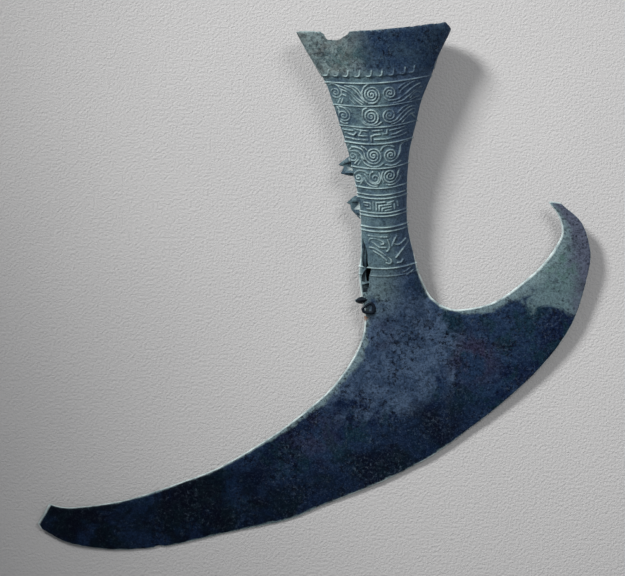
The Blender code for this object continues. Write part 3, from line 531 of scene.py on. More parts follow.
def scroll(lead, middle):
    """A line that leads in and winds round its middle, tighter and tighter."""
    lead = [np.array(p, float) for p in lead]
    arm = lead[-1] - middle
    way = lead[-1] - lead[-2]
    hand = math.copysign(1, arm[0] * way[1] - arm[1] * way[0])
    reach, start = np.linalg.norm(arm), math.atan2(arm[1], arm[0])
    turned = np.linspace(0, 2 * math.pi * (reach - 0.45) / SCROLL_PITCH, 40)[1:]
    wound = [np.array(middle) + (reach - SCROLL_PITCH * a / (2 * math.pi))
             * np.array([math.cos(start + hand * a), math.sin(start + hand * a)]) for a in turned]
    return np.concatenate([through(lead, 14), wound])


def fringe_tooth(x):
    """One hanging tooth of the fringe under the plain mouth, with its foot turned aside."""
    return [(x + 0.4, 36.4), (x, 38.4), (x - 0.3, 40), (x - 1.6, 41.2), (x - 3.8, 41.1)]


def hem(ring, across=None):
    """The swell of the plain mouth down to its hem. On the face the hem is scalloped between the teeth."""
    at = np.full(np.shape(ring), HEM_AT)
    if across is not None:
        teeth = np.interp(across, FRINGE, np.arange(len(FRINGE)))
        at = at - 0.9 * np.sin(math.pi * teeth) ** 2 * (1 - ease((np.abs(across) - 30) / 6))
    return HEM_HEIGHT * ease((ring - at + HEM_FADE) / HEM_FADE) * (1 - ease((ring - at) / 0.7)) * MM


def ornament():
    """Every stroke of the face's ornament, with its height and half width in millimetres."""
    strokes = [(scroll(lead, middle), STROKE_HEIGHT, STROKE_HALF_WIDTH) for lead, middle in SCROLLS]
    strokes += [(through(s, 16), STROKE_HEIGHT * 0.95, STROKE_HALF_WIDTH) for s in STROKES + PANEL]
    strokes += [(np.array(s, float), STROKE_HEIGHT, STROKE_HALF_WIDTH * 0.95) for s in FRETS]
    strokes += [(through(fringe_tooth(x), 12), 1.1, 0.9) for x in FRINGE]
    strokes += [(np.array([(x - 1.6, 28.2), (x + 0.2, 28.6), (x + 0.8, 27.2)]), 0.5, 0.8) for x in FRINGE[:6]]
    return strokes


def ridge_over(off, height):
    """Height of a rounded ridge at a distance from its middle line, as a share of its half width."""
    return height * np.cos(np.clip(off, 0, 1) * math.pi / 2) ** RIDGE_SHARPNESS


def face_relief(share, ring, beside=(0, 0)):
    """Height of the ornament over the face of the socket, where ring is how far down the middle it is. It is
    read a little to the side of each place where beside says so."""
    steps = np.linspace(0, 240, 481)
    label = np.array([row_label(r) for r in steps])
    left, right = (np.interp(ring, steps, outline_at(outline, label)) / MM
                   for outline in (LEFT_OUTLINE, RIGHT_OUTLINE))
    places = np.column_stack([(right * (1 + share) - left * (1 - share)) / 2, ring]) + beside
    relief = np.zeros(len(places))
    for line, height, half_width in ornament():
        line = np.array(line, float)
        near = np.all((places > line.min(axis=0) - 3) & (places < line.max(axis=0) + 3), axis=1)
        off = distance_to(places[near], line) / half_width
        ridge = ridge_over(off, height)
        groove = -0.45 * height * (1 - ease(np.abs(off - 1.5) / 0.9))
        was = relief[near]
        below = np.where(was > 0, was, np.minimum(was, groove))
        relief[near] = np.where(ridge > 0, np.maximum(was, ridge), below)
    worn = np.ones(len(places))
    for middle, reach, left_over in RUBBED:
        off = np.linalg.norm(places - np.array(middle), axis=1) / reach
        worn *= left_over + (1 - left_over) * ease(off)
    for k, (x, y) in enumerate(places):
        broad, narrow = Vector((x / 5, y / 5, 1.7)), Vector((x, y, 4)) / 1.4
        worn[k] *= 0.78 + 0.5 * noise.noise(broad) + 0.3 * noise.noise(narrow)
    inside = 1 - ease((np.abs(share) - EDGE_OF_ORNAMENT) / (1 - EDGE_OF_ORNAMENT))
    return relief * np.clip(worn, 0, 1.15) * inside * MM


def ring_relief(ring):
    """Height of the rings that run right round the socket, and of the sunk bands between them."""
    relief = np.zeros(np.shape(ring))
    for middle, depth, half_width in SUNK_BANDS:
        relief = np.minimum(relief, -depth * (1 - ease(np.abs(ring - middle) / half_width)))
    for middle, height, half_width in RINGS:
        ridge = ridge_over(np.abs(ring - middle) / half_width, height)
        relief = np.where(ridge > 0, np.maximum(relief, ridge), relief)
    return relief * MM


def lay_sheet(casting, places, raised, facing_down=False):
    """A sheet of the casting: a grid of four-sided faces, moved to its places."""
    rows, columns = places.shape[:2]
    grid = bmesh.ops.create_grid(casting, x_segments=columns - 1, y_segments=rows - 1, size=1)["verts"]
    layer = casting.verts.layers.float["raised"]
    raised = np.broadcast_to(raised, (rows, columns)).ravel()
    for vert, place, height in zip(grid, places.reshape(-1, 3), raised):
        vert.co = place
        vert[layer] = height
    if facing_down:
        bmesh.ops.reverse_faces(casting, faces=list({f for v in grid for f in v.link_faces}))
    return grid


def socket_face(casting, labels):
    shares = face_shares(FACE_COLUMNS)
    places = np.array([row_point(shares, label) for label in labels]).reshape(-1, 2)
    ring = np.repeat((labels + sag(labels)) / MM, len(shares))
    share = np.tile(shares, len(labels))
    # The colour is the relief read a little to the lower right of each place: painted highlight on the upper
    # left flanks of the strokes, painted shade on their lower right ones.
    solid, colour = (np.where(strokes > 0, np.maximum(rings, strokes), rings + strokes)
                     for rings, strokes in ((ring_relief(ring + beside[1]), face_relief(share, ring, beside))
                                            for beside in ((0, 0), PAINTED_LIGHT_SHIFT)))
    across, _ = across_and_down(places)
    solid = surface(places, solid + hem(ring, across / MM))
    solid[np.abs(share) > AT_THE_SIDE, 2] = 0
    lay_sheet(casting, solid.reshape(len(labels), len(shares), 3), colour.reshape(len(labels), -1), True)


def socket_back(casting, labels):
    """The plainer back: the rings run round it, and its rim is level."""
    shares = face_shares(FACE_COLUMNS)[::FACE_COLUMNS // BACK_COLUMNS]
    droop = ease(labels / (WAIST_AT * SOCKET_LENGTH / 3))
    places = np.array([row_point(shares, label, d) for label, d in zip(labels, droop)])
    ring = np.repeat((labels + sag(labels)) / MM, len(shares))
    relief = ring_relief(ring)
    solid = surface(places.reshape(-1, 2), relief + hem(ring)) * (1, 1, -1)
    solid = solid.reshape(*places.shape[:2], 3)
    solid[:, [0, -1], 2] = 0
    grid = lay_sheet(casting, solid, relief.reshape(len(labels), -1))
    foot = grid[-len(shares):]
    bottom = [e for a, b in zip(foot[:-1], foot[1:]) for e in a.link_edges if b in e.verts]
    cuts = FACE_COLUMNS // BACK_COLUMNS - 1
    made = bmesh.ops.subdivide_edges(casting, edges=bottom, cuts=cuts)["geom_inner"]
    middle = surface(row_point(face_shares(FACE_COLUMNS), SOCKET_LENGTH)) * (1, 1, -1)
    for vert in made:
        if isinstance(vert, bmesh.types.BMVert):
            vert.co = middle[np.argmin(np.linalg.norm(middle - np.array(vert.co), axis=1))]


def patch(top, bottom, start, end, across):
    """Places inside four boundary lines, blended from all four."""
    v = across[:, None, None]
    u = np.linspace(0, 1, len(top))[None, :, None]
    corners = ((1 - u) * (1 - v) * top[0] + u * (1 - v) * top[-1]
               + (1 - u) * v * bottom[0] + u * v * bottom[-1])
    return (1 - u) * start[:, None] + u * end[:, None] + (1 - v) * top[None] + v * bottom[None] - corners


def blade_sheets(casting):
    """Both faces of the crescent, in three patches: the middle under the socket and the two arms."""
    across = (1 - np.cos(np.linspace(0, math.pi, BLADE_ROWS + 1))) / 2
    shares = face_shares(FACE_COLUMNS)
    foot = row_point(shares, SOCKET_LENGTH)
    run = np.linspace(0, 1, len(MIDDLE_EDGE_LINE))
    edge = at_shares(MIDDLE_EDGE_LINE, run, (shares + 1) / 2)
    left_rib, right_rib = (above + across[:, None] * (below - above)
                           for above, below in ((foot[0], edge[0]), (foot[-1], edge[-1])))
    ends = evenly(blade_points(BROKEN_TIP), 200), evenly(blade_points(HORN_TIP)[::-1], 200)
    tip, horn_tip = (at_shares(line, np.linspace(0, 1, len(line)), across) for line in ends)
    wing_back, wing_edge = (evenly(line, WING_COLUMNS + 1) for line in (LEFT_BACK_LINE[::-1], LEFT_EDGE_LINE))
    inner, outer = (evenly(line, HORN_COLUMNS + 1) for line in (HORN_INNER_LINE, HORN_EDGE_LINE))
    for which, places in enumerate((patch(foot, edge, left_rib, right_rib, across),
                                    patch(wing_back, wing_edge, tip, left_rib, across),
                                    patch(inner, outer, right_rib, horn_tip, across))):
        solid = surface(places.reshape(-1, 2)).reshape(*places.shape[:2], 3)
        solid[-1, :, 2] = 0
        if which == 0:
            solid[0, [0, -1], 2] = 0
        else:
            solid[0, :, 2] = 0
            solid[:, 0 if which == 1 else -1, 2] = 0
        lay_sheet(casting, solid, 0, True)
        lay_sheet(casting, solid * (1, 1, -1), 0)


def round_the_mouth():
    """Shares round the mouth, along the face and home along the back, each with the side that it is on."""
    face = face_shares(FACE_COLUMNS)
    back = face[::-FACE_COLUMNS // BACK_COLUMNS]
    return [(share, 1) for share in face] + [(share, -1) for share in back[1:]]


def hollow(casting):
    """The rounded lip and the hollow that takes the haft, down to its flat end."""
    around = round_the_mouth()
    inside = []
    for label in np.linspace(0, BORE_LENGTH, 13):
        droop = float(sag(label)) * (1 - float(ease(label / (0.25 * SOCKET_LENGTH))))
        shrink = ease((label - BANDS_END * SOCKET_LENGTH * 0.94) / (BORE_LENGTH * 0.3))
        left, right = (outline_at(outline, label) - WALL for outline in (LEFT_OUTLINE, RIGHT_OUTLINE))
        left, right = (w + (min(BORE_END_WIDTH / 2, w) - w) * shrink for w in (left, right))
        depth = socket_half_depth(label) - WALL
        loop = []
        for share, side in around:
            across = (right - left) / 2 + share * (left + right) / 2
            down = label + (droop if side > 0 else 0) * (1 - share**2)
            loop.append((*on_plane(across, down), side * depth * math.sqrt(max(0, 1 - share**2))))
        inside.append(loop)
    inside = np.array(inside)
    rim = []
    for share, side in around:
        x, y, z = surface(np.array([row_point(share, FIRST_ROW, 1 if side > 0 else 0)]))[0]
        rim.append((x, y, side * z if abs(share) < AT_THE_SIDE else 0))
    rim = np.array(rim)
    inner = inside[0].copy()
    lip = []
    for t in (0, 0.08, 0.22, 0.45, 0.72, 0.9, 1):
        lift = LIP_ROUNDING * math.sqrt(max(0, 1 - (2 * t - 1) ** 4))
        loop = rim + (inner - rim) * t
        loop[:, :2] += UP * (lift - FIRST_ROW * t)
        lip.append(loop)
    inside[0] = lip[-1]
    colour = np.repeat([LIP_RAISED, 0], [len(lip), len(inside) - 1])[:, None]
    grid = lay_sheet(casting, np.concatenate([np.array(lip), inside[1:]]), colour)
    last = grid[-len(around):]
    bmesh.ops.remove_doubles(casting, verts=last, dist=MERGE)
    last = [v for v in last if v.is_valid]
    edges = {e for v in last for e in v.link_edges}
    edges = [e for e in edges if e.is_boundary and all(v in last for v in e.verts)]
    bmesh.ops.contextual_create(casting, geom=edges)


def swelling(place, swells):
    return sum(height * noise.noise(place / width) for height, width in swells)


def roughen(casting):
    """The cast and buried skin: low swellings and fine unevenness, along the way out of each point."""
    casting.normal_update()
    up = Vector((*UP, 0))
    moved = []
    for vert in casting.verts:
        p = vert.co / MM
        at_lip = min(1, max(0, (up.dot(p) - WORN_LIP_FROM) / WORN_LIP_FADE))
        worn = up * swelling(p, LIP_SWELLS) * at_lip
        moved.append(vert.co + (vert.normal * swelling(p, SKIN_SWELLS) + worn) * MM)
    for vert, place in zip(casting.verts, moved):
        vert.co = place


def cast_body():
    casting = bmesh.new()
    casting.verts.layers.float.new("raised")
    labels = socket_rows()
    socket_face(casting, labels)
    socket_back(casting, labels)
    blade_sheets(casting)
    hollow(casting)
    bmesh.ops.remove_doubles(casting, verts=casting.verts, dist=MERGE)
    bmesh.ops.holes_fill(casting, edges=casting.edges, sides=6)
    bmesh.ops.recalc_face_normals(casting, faces=casting.faces)
    if casting.calc_volume(signed=True) < 0:
        bmesh.ops.reverse_faces(casting, faces=casting.faces)
    roughen(casting)
    return casting


def as_object(name, mesh):
    data = bpy.data.meshes.new(name)
    mesh.to_mesh(data)
    mesh.free()
    made = bpy.data.objects.new(name, data)
    bpy.context.scene.collection.objects.link(made)
    return made


def fin(points, low, high, bevel, colour=0):
    """A flat fin or cutter: an outline on the middle plane, drawn out from one height to another."""
    mesh = bmesh.new()
    layer = mesh.verts.layers.float.new("raised")
    places = [on_plane(across * MM, down * MM) for across, down in points]
    base = mesh.faces.new([mesh.verts.new((*p, low)) for p in places])
    lifted = [v for v in bmesh.ops.extrude_face_region(mesh, geom=[base])["geom"]
              if isinstance(v, bmesh.types.BMVert)]
    bmesh.ops.translate(mesh, verts=lifted, vec=(0, 0, high - low))
    bmesh.ops.recalc_face_normals(mesh, faces=mesh.faces)
    if bevel:
        bmesh.ops.bevel(mesh, geom=mesh.edges[:], offset=bevel, segments=2, profile=0.5, affect="EDGES",
                        material=-1, clamp_overlap=True)
    for vert in mesh.verts:
        vert[layer] = colour
    return mesh


def thorn(upper, lower, thickness, colour=THORN_RAISED):
    """A pointed stub of a lug, swelling to a ridge between its two edges, painted pale on its upper side as
    highlight and dark on its lower side as shade.
    """
    upper, lower = (through(edge, ALONG_THORN + 1) for edge in (upper, lower))
    mesh = bmesh.new()
    layer = mesh.verts.layers.float.new("raised")
    grid = bmesh.ops.create_grid(mesh, x_segments=ROUND_WIRE, y_segments=ALONG_THORN, size=1)["verts"]
    for k, vert in enumerate(grid):
        i, j = divmod(k, ROUND_WIRE + 1)
        turn = j / ROUND_WIRE * 2 * math.pi
        middle, half = (upper[i] + lower[i]) / 2, (upper[i] - lower[i]) / 2
        slim = min(1, np.linalg.norm(half) / np.linalg.norm(upper[0] - lower[0]) * 2.6)
        flat = on_plane(*(middle + half * math.cos(turn)) * MM)
        vert.co = (*flat, thickness / 2 * MM * slim * math.sin(turn) * (1 - 0.3 * abs(math.cos(turn))))
        vert[layer] = THORN_SHADE * math.cos(turn) + colour
    bmesh.ops.remove_doubles(mesh, verts=mesh.verts, dist=MERGE)
    bmesh.ops.holes_fill(mesh, edges=mesh.edges, sides=ROUND_WIRE + 2)
    bmesh.ops.recalc_face_normals(mesh, faces=mesh.faces)
    return mesh


def lug_ring():
    """The whole lug: a ring bent round five soft corners, thickest on its right, on the side of the foot."""
    loop = through([*LUG_LOOP, LUG_LOOP[0]], ALONG_LUG + 1)[:-1]
    middle = loop.mean(axis=0)
    mesh = bmesh.new()
    layer = mesh.verts.layers.float.new("raised")
    grid = bmesh.ops.create_grid(mesh, x_segments=ROUND_WIRE, y_segments=ALONG_LUG, size=1)["verts"]
    for k, vert in enumerate(grid):
        i, j = divmod(k, ROUND_WIRE + 1)
        around = j / ROUND_WIRE * 2 * math.pi
        centre = loop[i % ALONG_LUG]
        out = centre - middle
        out /= np.linalg.norm(out)
        half = (LUG_THICKNESS + (LUG_THICKEST - LUG_THICKNESS) * max(0, out[0])) / 2
        flat = on_plane(*centre * MM) + (on_plane(*out) - on_plane(0, 0)) * half * math.cos(around)
        vert.co = (*flat, LUG_LIFT + half * math.sin(around))
        vert[layer] = LUG_RAISED
    bmesh.ops.remove_doubles(mesh, verts=mesh.verts, dist=MERGE)
    bmesh.ops.recalc_face_normals(mesh, faces=mesh.faces)
    return mesh


def combine(target, other, operation):
    step = target.modifiers.new(other.name, "BOOLEAN")
    step.object = other
    step.operation = operation
    step.solver = "MANIFOLD"


def cast_axe():
    axe = as_object("bronze_axe_casting", cast_body())
    helpers = [as_object("chip", fin(CHIP, -MOUTH_DEPTH, MOUTH_DEPTH, 0))]
    helpers += [as_object(f"slot_{k}", fin(slot, SLOT_FLOOR, SLOT_FLOOR + SLOT_DEPTH, 0, SLOT_RAISED))
                for k, slot in enumerate(SLOTS)]
    for helper in helpers:
        combine(axe, helper, "DIFFERENCE")
    half = STUB_THICKNESS / 2
    added = [as_object(f"stub_{k}", fin(stub, -half, half, 0.5 * MM)) for k, stub in enumerate(STUBS)]
    added += [as_object(f"thorn_{k}", thorn(*shape, DARK_THORN_RAISED if k == DARK_THORN else THORN_RAISED))
              for k, shape in enumerate(THORNS)]
    added.append(as_object("lug", lug_ring()))
    for helper in added:
        combine(axe, helper, "UNION")
    ready = bpy.data.meshes.new_from_object(axe.evaluated_get(bpy.context.evaluated_depsgraph_get()))
    axe.modifiers.clear()
    axe.data = ready
    ready.name = axe.name
    for helper in helpers + added:
        bpy.data.objects.remove(helper)
    return axe


def paint_edge_highlight_and_patina(axe):
    """How far each point lies in the painted highlight along a corner, the rim, and in the pale band of
    patina and painted light beside it, the fade, kept on the mesh for its finish.
    """
    mesh = axe.data
    count = len(mesh.vertices)
    places = np.empty(count * 3, np.float32)
    mesh.vertices.foreach_get("co", places)
    flat = places.reshape(-1, 3)[:, :2].astype(float)
    raised = np.empty(count, np.float32)
    mesh.attributes["raised"].data.foreach_get("value", raised)
    for name, kept, cutting in (("rim", 2, CUTTING_BRIGHT), ("fade", 3, CUTTING_PALE)):
        near = [distance_to(flat, bevel[0], breadths_along(bevel[0], bevel[kept])) for bevel in BEVELS]
        near.append(distance_to(flat, CUTTING, breadths_along(CUTTING, cutting)))
        share = np.where(raised < NO_LINE_BELOW, 0, 1 - np.clip(np.min(near, axis=0), 0, 1))
        made = mesh.attributes.new(name, "FLOAT", "POINT")
        made.data.foreach_set("value", share.astype(np.float32))


def lying():
    turn = Vector((0, 0, 1)).rotation_difference(LYING_ON).to_matrix().to_4x4()
    return Matrix.Translation(LAID_AT) @ turn


class Finish:
    """A material under construction: each call adds one node and gives back its output."""

    def __init__(self, name):
        self.material = bpy.data.materials.new(name)
        self.material.use_nodes = True
        self.tree = self.material.node_tree
        self.shader = self.tree.nodes["Principled BSDF"]

    def add(self, kind, inputs=(), output=0, **settings):
        made = self.tree.nodes.new("ShaderNode" + kind)
        for name, value in settings.items():
            setattr(made, name, value)
        for socket, value in dict(inputs).items():
            self.put(made.inputs[socket], value)
        return made.outputs[output]

    def put(self, socket, value):
        if isinstance(value, bpy.types.NodeSocket):
            self.tree.links.new(value, socket)
        else:
            socket.default_value = value

    def places(self):
        return self.add("TexCoord", output="Object")

    def mottle(self, scale, detail=4, rough=0.55, warp=0, seed=0):
        where = self.add("Mapping", {"Vector": self.places(), "Location": (seed, seed * 0.7, -seed)})
        return self.add("TexNoise", {"Vector": where, "Scale": scale, "Detail": detail, "Roughness": rough,
                                     "Distortion": warp})

    def step(self, value, low, high, to_low=0.0, to_high=1.0):
        return self.add("MapRange", {"Value": value, "From Min": low, "From Max": high, "To Min": to_low,
                                     "To Max": to_high}, interpolation_type="SMOOTHSTEP")

    def towards(self, place, direction):
        """How many metres a point is from a place of the drawing, along a direction of the drawing."""
        turned = lying().to_3x3() @ Vector((*direction, 0)).normalized()
        start = (lying() @ (Vector((*place, 0)) * MM)).dot(turned)
        run = self.add("VectorMath", {0: self.places(), 1: turned}, output="Value", operation="DOT_PRODUCT")
        return self.add("Math", {0: run, 1: start}, operation="SUBTRACT")

    def near(self, place, reach):
        """A mask that is 1 at a place given in millimetres of the drawing, and fades to 0 at its reach."""
        x, y, z = lying() @ (Vector((*place, 0)) * MM)
        off = self.add("VectorMath", {0: self.places(), 1: (x, y, z)}, output="Value", operation="DISTANCE")
        return self.step(off, 0.0, reach * MM, 1.0, 0.0)

    def times(self, a, b):
        return self.add("Math", {0: a, 1: b}, operation="MULTIPLY")

    def plus(self, a, b):
        return self.add("Math", {0: a, 1: b}, operation="ADD", use_clamp=True)

    def mix(self, share, a, b):
        made = self.tree.nodes.new("ShaderNodeMix")
        made.data_type = "RGBA"
        # This node has sockets for every kind of value. These are the ones for colours.
        for socket, value in ((0, share), (6, a), (7, b)):
            self.put(made.inputs[socket], value)
        return made.outputs[2]

    def bump(self, height, strength, depth, under=None):
        inputs = {"Height": height, "Strength": strength, "Distance": depth}
        if under is not None:
            inputs["Normal"] = under
        return self.add("Bump", inputs)


NAVY = (0.0034, 0.0122, 0.044, 1)
SLATE = (0.074, 0.120, 0.200, 1)
DUSK_BLUE = (0.0135, 0.035, 0.083, 1)
TEAL = (0.0045, 0.027, 0.043, 1)
NEAR_BLACK = (0.0007, 0.0020, 0.0080, 1)
GREEN_BLACK = (0.0015, 0.0075, 0.0125, 1)
GREY_GREEN = (0.118, 0.192, 0.214, 1)
STONE_GREY = (0.135, 0.185, 0.255, 1)
PALE_GREEN = (0.315, 0.425, 0.435, 1)
PAINTED_LIGHT_CHALK = (0.560, 0.660, 0.660, 1)
PURPLE = (0.036, 0.026, 0.056, 1)
MAUVE = (0.106, 0.122, 0.176, 1)
EARTH_AND_SHADE = (0.004, 0.007, 0.013, 1)
FRESH_GREEN = (0.045, 0.130, 0.085, 1)
RUST = (0.180, 0.075, 0.035, 1)
MOSS_GREY = (0.090, 0.145, 0.155, 1)
ASH_GREEN = (0.205, 0.275, 0.280, 1)
BROWN_GREY = (0.110, 0.105, 0.100, 1)


def between(share, a, b):
    return tuple(p + (q - p) * share for p, q in zip(a, b))


PALE_PATINA_AND_LIGHT = between(0.35, GREY_GREEN, PALE_GREEN)
ACROSS = tuple(SIDE)
UPWARD = tuple(UP)


def blade_patina(f, wing, horn):
    """Navy with teal clouds, near black on the wing and low in the middle, slate by the neck, grey horn."""
    blotches = f.mottle(20, 8, 0.66, 0.7)
    colour = f.mix(f.step(blotches, 0.44, 0.56), NAVY, DUSK_BLUE)
    colour = f.mix(f.times(f.step(f.mottle(44, 6, 0.65, 0.5, 3), 0.50, 0.60), 0.8), colour, TEAL)
    wing_skin = f.mix(f.step(f.mottle(36, 7, 0.68, 0.5, 24), 0.42, 0.58), NEAR_BLACK, GREEN_BLACK)
    wing_skin = f.mix(f.times(f.step(blotches, 0.46, 0.60), 0.8), wing_skin, NAVY)
    colour = f.mix(f.times(wing, f.step(blotches, 0.66, 0.40, 0.6, 0.97)), colour, wing_skin)
    patch_edge = f.step(f.mottle(26, 8, 0.7, 0.6, 21), 0.3, 0.7, -0.34, 0.34)
    plate = f.step(f.plus(f.near((2, -30), 94), patch_edge), 0.28, 0.60)
    cloudy = f.times(f.step(f.mottle(75, 7, 0.72, 0.4, 35), 0.44, 0.58), 0.6)
    colour = f.mix(f.times(plate, 0.9), colour, f.mix(cloudy, SLATE, DUSK_BLUE))
    low = f.step(f.towards((9, -82), (0.5, -0.86)), -0.016, 0.026)
    low = f.step(f.plus(low, patch_edge), 0.30, 0.80)
    low = f.times(low, f.step(f.towards((9, -80), (1, 0.5)), 0.075, 0.035))
    colour = f.mix(f.times(low, 0.72), colour, wing_skin)
    outer = f.step(f.towards((142, 40), (1, 0.3)), -0.020, 0.022)
    outer = f.step(f.plus(outer, patch_edge), 0.15, 0.85)
    horn_skin = f.mix(outer, between(0.1, GREY_GREEN, PALE_GREEN), MAUVE)
    return f.mix(f.times(horn, 0.93), colour, horn_skin)


def socket_patina_and_light(f, colour, neck, shade, mouth, west):
    """Grey-green on the neck's left, bluer and darker on its right, partly patina and partly painted shade, a
    mottled mouth that darkens to the right, and a pale patch on the foot's left, partly patina and partly
    painted light.
    """
    lit_side = f.mix(f.step(f.mottle(70, 6, 0.68, 0.4, 7), 0.34, 0.6, 0.35, 1.0), DUSK_BLUE, GREY_GREEN)
    dim_side = between(0.45, DUSK_BLUE, SLATE)
    colour = f.mix(neck, colour, f.mix(f.step(shade, 0.0, 1.0, 0.95, 0.1), dim_side, lit_side))
    grey_mouth = f.mix(f.step(f.mottle(90, 6, 0.75, 0.6, 16), 0.42, 0.56), MOSS_GREY, ASH_GREEN)
    browned = f.times(f.step(f.mottle(52, 5, 0.7, 0.5, 31), 0.46, 0.58), 0.5)
    grey_mouth = f.mix(browned, grey_mouth, BROWN_GREY)
    clouds = f.step(f.mottle(90, 6, 0.7, 0.6, 16), 0.35, 0.66)
    dark_mouth = f.mix(clouds, DUSK_BLUE, between(0.4, TEAL, SLATE))
    colour = f.mix(mouth, colour, f.mix(west, dark_mouth, grey_mouth))
    worn = f.times(f.step(f.towards((0, 196), UPWARD), 0.004, -0.012), f.times(mouth, west))
    worn = f.times(worn, f.step(f.mottle(170, 5, 0.7, 0.3, 33), 0.48, 0.58, 0.0, 0.8))
    colour = f.mix(worn, colour, PALE_GREEN)
    # A pale patch on the left of the foot, where the face turns to the lamp: pale patina and painted light.
    foot = f.times(f.near((-11, 15), 30), f.step(f.mottle(55, 4, 0.6, 0.2, 17), 0.25, 0.5))
    return f.mix(f.times(foot, 0.9), colour, PALE_PATINA_AND_LIGHT)


def stains_and_bevel_light(f, colour):
    """Purple and green stains, and a pale band beside the corners' painted highlights: pale patina, with
    painted light where the bevels face the lamp.
    """
    for place, reach, depth in (((68, -38), 34, 0.8), ((-60, -100), 34, 0.5), ((-54, 222), 20, 0.6),
                                ((160, 16), 22, 0.6), ((-8, -20), 20, 0.5)):
        stain = f.times(f.near(place, reach), f.step(f.mottle(75, 4, 0.6, 0, 9), 0.42, 0.6))
        colour = f.mix(f.times(stain, depth), colour, PURPLE)
    green = f.times(f.plus(f.near((-26, 200), 26), f.near((132, 36), 30)),
                    f.step(f.mottle(90, 4, 0.6, 0.2, 11), 0.44, 0.58))
    colour = f.mix(f.times(green, 0.65), colour, FRESH_GREEN)
    # The pale band beside the corners: pale patina and painted light.
    fade = f.add("Attribute", attribute_name="fade", output="Fac")
    ragged = f.plus(fade, f.step(f.mottle(65, 6, 0.7, 0.3, 22), 0.3, 0.7, -0.34, 0.26))
    fade = f.times(f.step(fade, 0.0, 0.12), f.step(ragged, 0.08, 0.55))
    return f.mix(f.times(fade, 0.75), colour, PALE_PATINA_AND_LIGHT)


def grained(f, colour, plain, wing, clusters, pits):
    """Dark and light grain at two sizes, pits, and pale flecks in clusters."""
    grain = f.mottle(300, 7, 0.78, 0.3, 4)
    colour = f.mix(f.times(f.step(grain, 0.41, 0.53, 0.92, 0.0), plain), colour, NEAR_BLACK)
    colour = f.mix(f.times(f.step(grain, 0.54, 0.70, 0.0, 0.34), plain), colour, STONE_GREY)
    fine = f.mottle(760, 4, 0.8, 0.2, 23)
    colour = f.mix(f.step(fine, 0.38, 0.54, 0.5, 0.0), colour, NEAR_BLACK)
    light = f.times(f.step(fine, 0.54, 0.70, 0.0, 0.30), f.step(wing, 0.0, 1.0, 1.0, 0.3))
    colour = f.mix(light, colour, STONE_GREY)
    colour = f.mix(pits, colour, NEAR_BLACK)
    flecks = f.times(f.step(f.mottle(420, 6, 0.75, 0.2, 2), 0.54, 0.68), clusters)
    return f.mix(f.times(flecks, f.step(wing, 0.0, 1.0, 0.42, 0.16)), colour, STONE_GREY)


def rubbed_dirty_and_painted_light(f, colour, shade):
    """Pale rubbed crests and dark earth in the ornament, with painted highlight on the upper left flanks and
    painted shade on the lower right ones and on the right of the socket; painted highlights on the corners, a
    painted pale patch in the lug's hole, and a dark patch and rust round the whole lug.
    """
    # A pale patch painted in the lug's hole, painted light where the lug's own shadow falls.
    colour = f.mix(f.times(f.step(f.near((-16.8, 1.6), 6), 0.2, 0.6), 0.9), colour, PAINTED_LIGHT_CHALK)
    raised = f.add("Attribute", attribute_name="raised", output="Fac")
    uneven = f.step(f.mottle(120, 5, 0.7, 0, 8), 0.36, 0.60, 0.32, 1.0)
    rubbed = f.times(f.step(raised, 0.00020, 0.00080), uneven)
    # Fewer pale crests on the right of the socket: painted shade.
    rubbed = f.times(rubbed, f.step(shade, 0.0, 1.0, 0.92, 0.30))
    colour = f.mix(rubbed, colour, PALE_GREEN)
    # Dark earth in the grooves, lying on the lower right flanks of the strokes as painted shade.
    colour = f.mix(f.step(raised, -0.00026, 0.0, 0.96, 0.0), colour, EARTH_AND_SHADE)
    # Painted highlights along the corners of the bevels and the cutting edge.
    rim = f.add("Attribute", attribute_name="rim", output="Fac")
    rim = f.times(f.step(rim, 0.05, 0.6), f.step(f.mottle(90, 5, 0.65, 0, 12), 0.33, 0.62, 0.25, 0.95))
    colour = f.mix(rim, colour, PAINTED_LIGHT_CHALK)
    colour = f.mix(f.times(f.step(f.near((-19.5, 7.6), 6.5), 0.3, 0.6), 0.9), colour, NEAR_BLACK)
    specks = f.step(f.mottle(260, 3, 0.6, 0, 18), 0.42, 0.54)
    rust = f.times(f.step(f.near((-20, -4), 9), 0.1, 0.6), specks)
    return f.mix(f.times(rust, 0.85), colour, RUST)


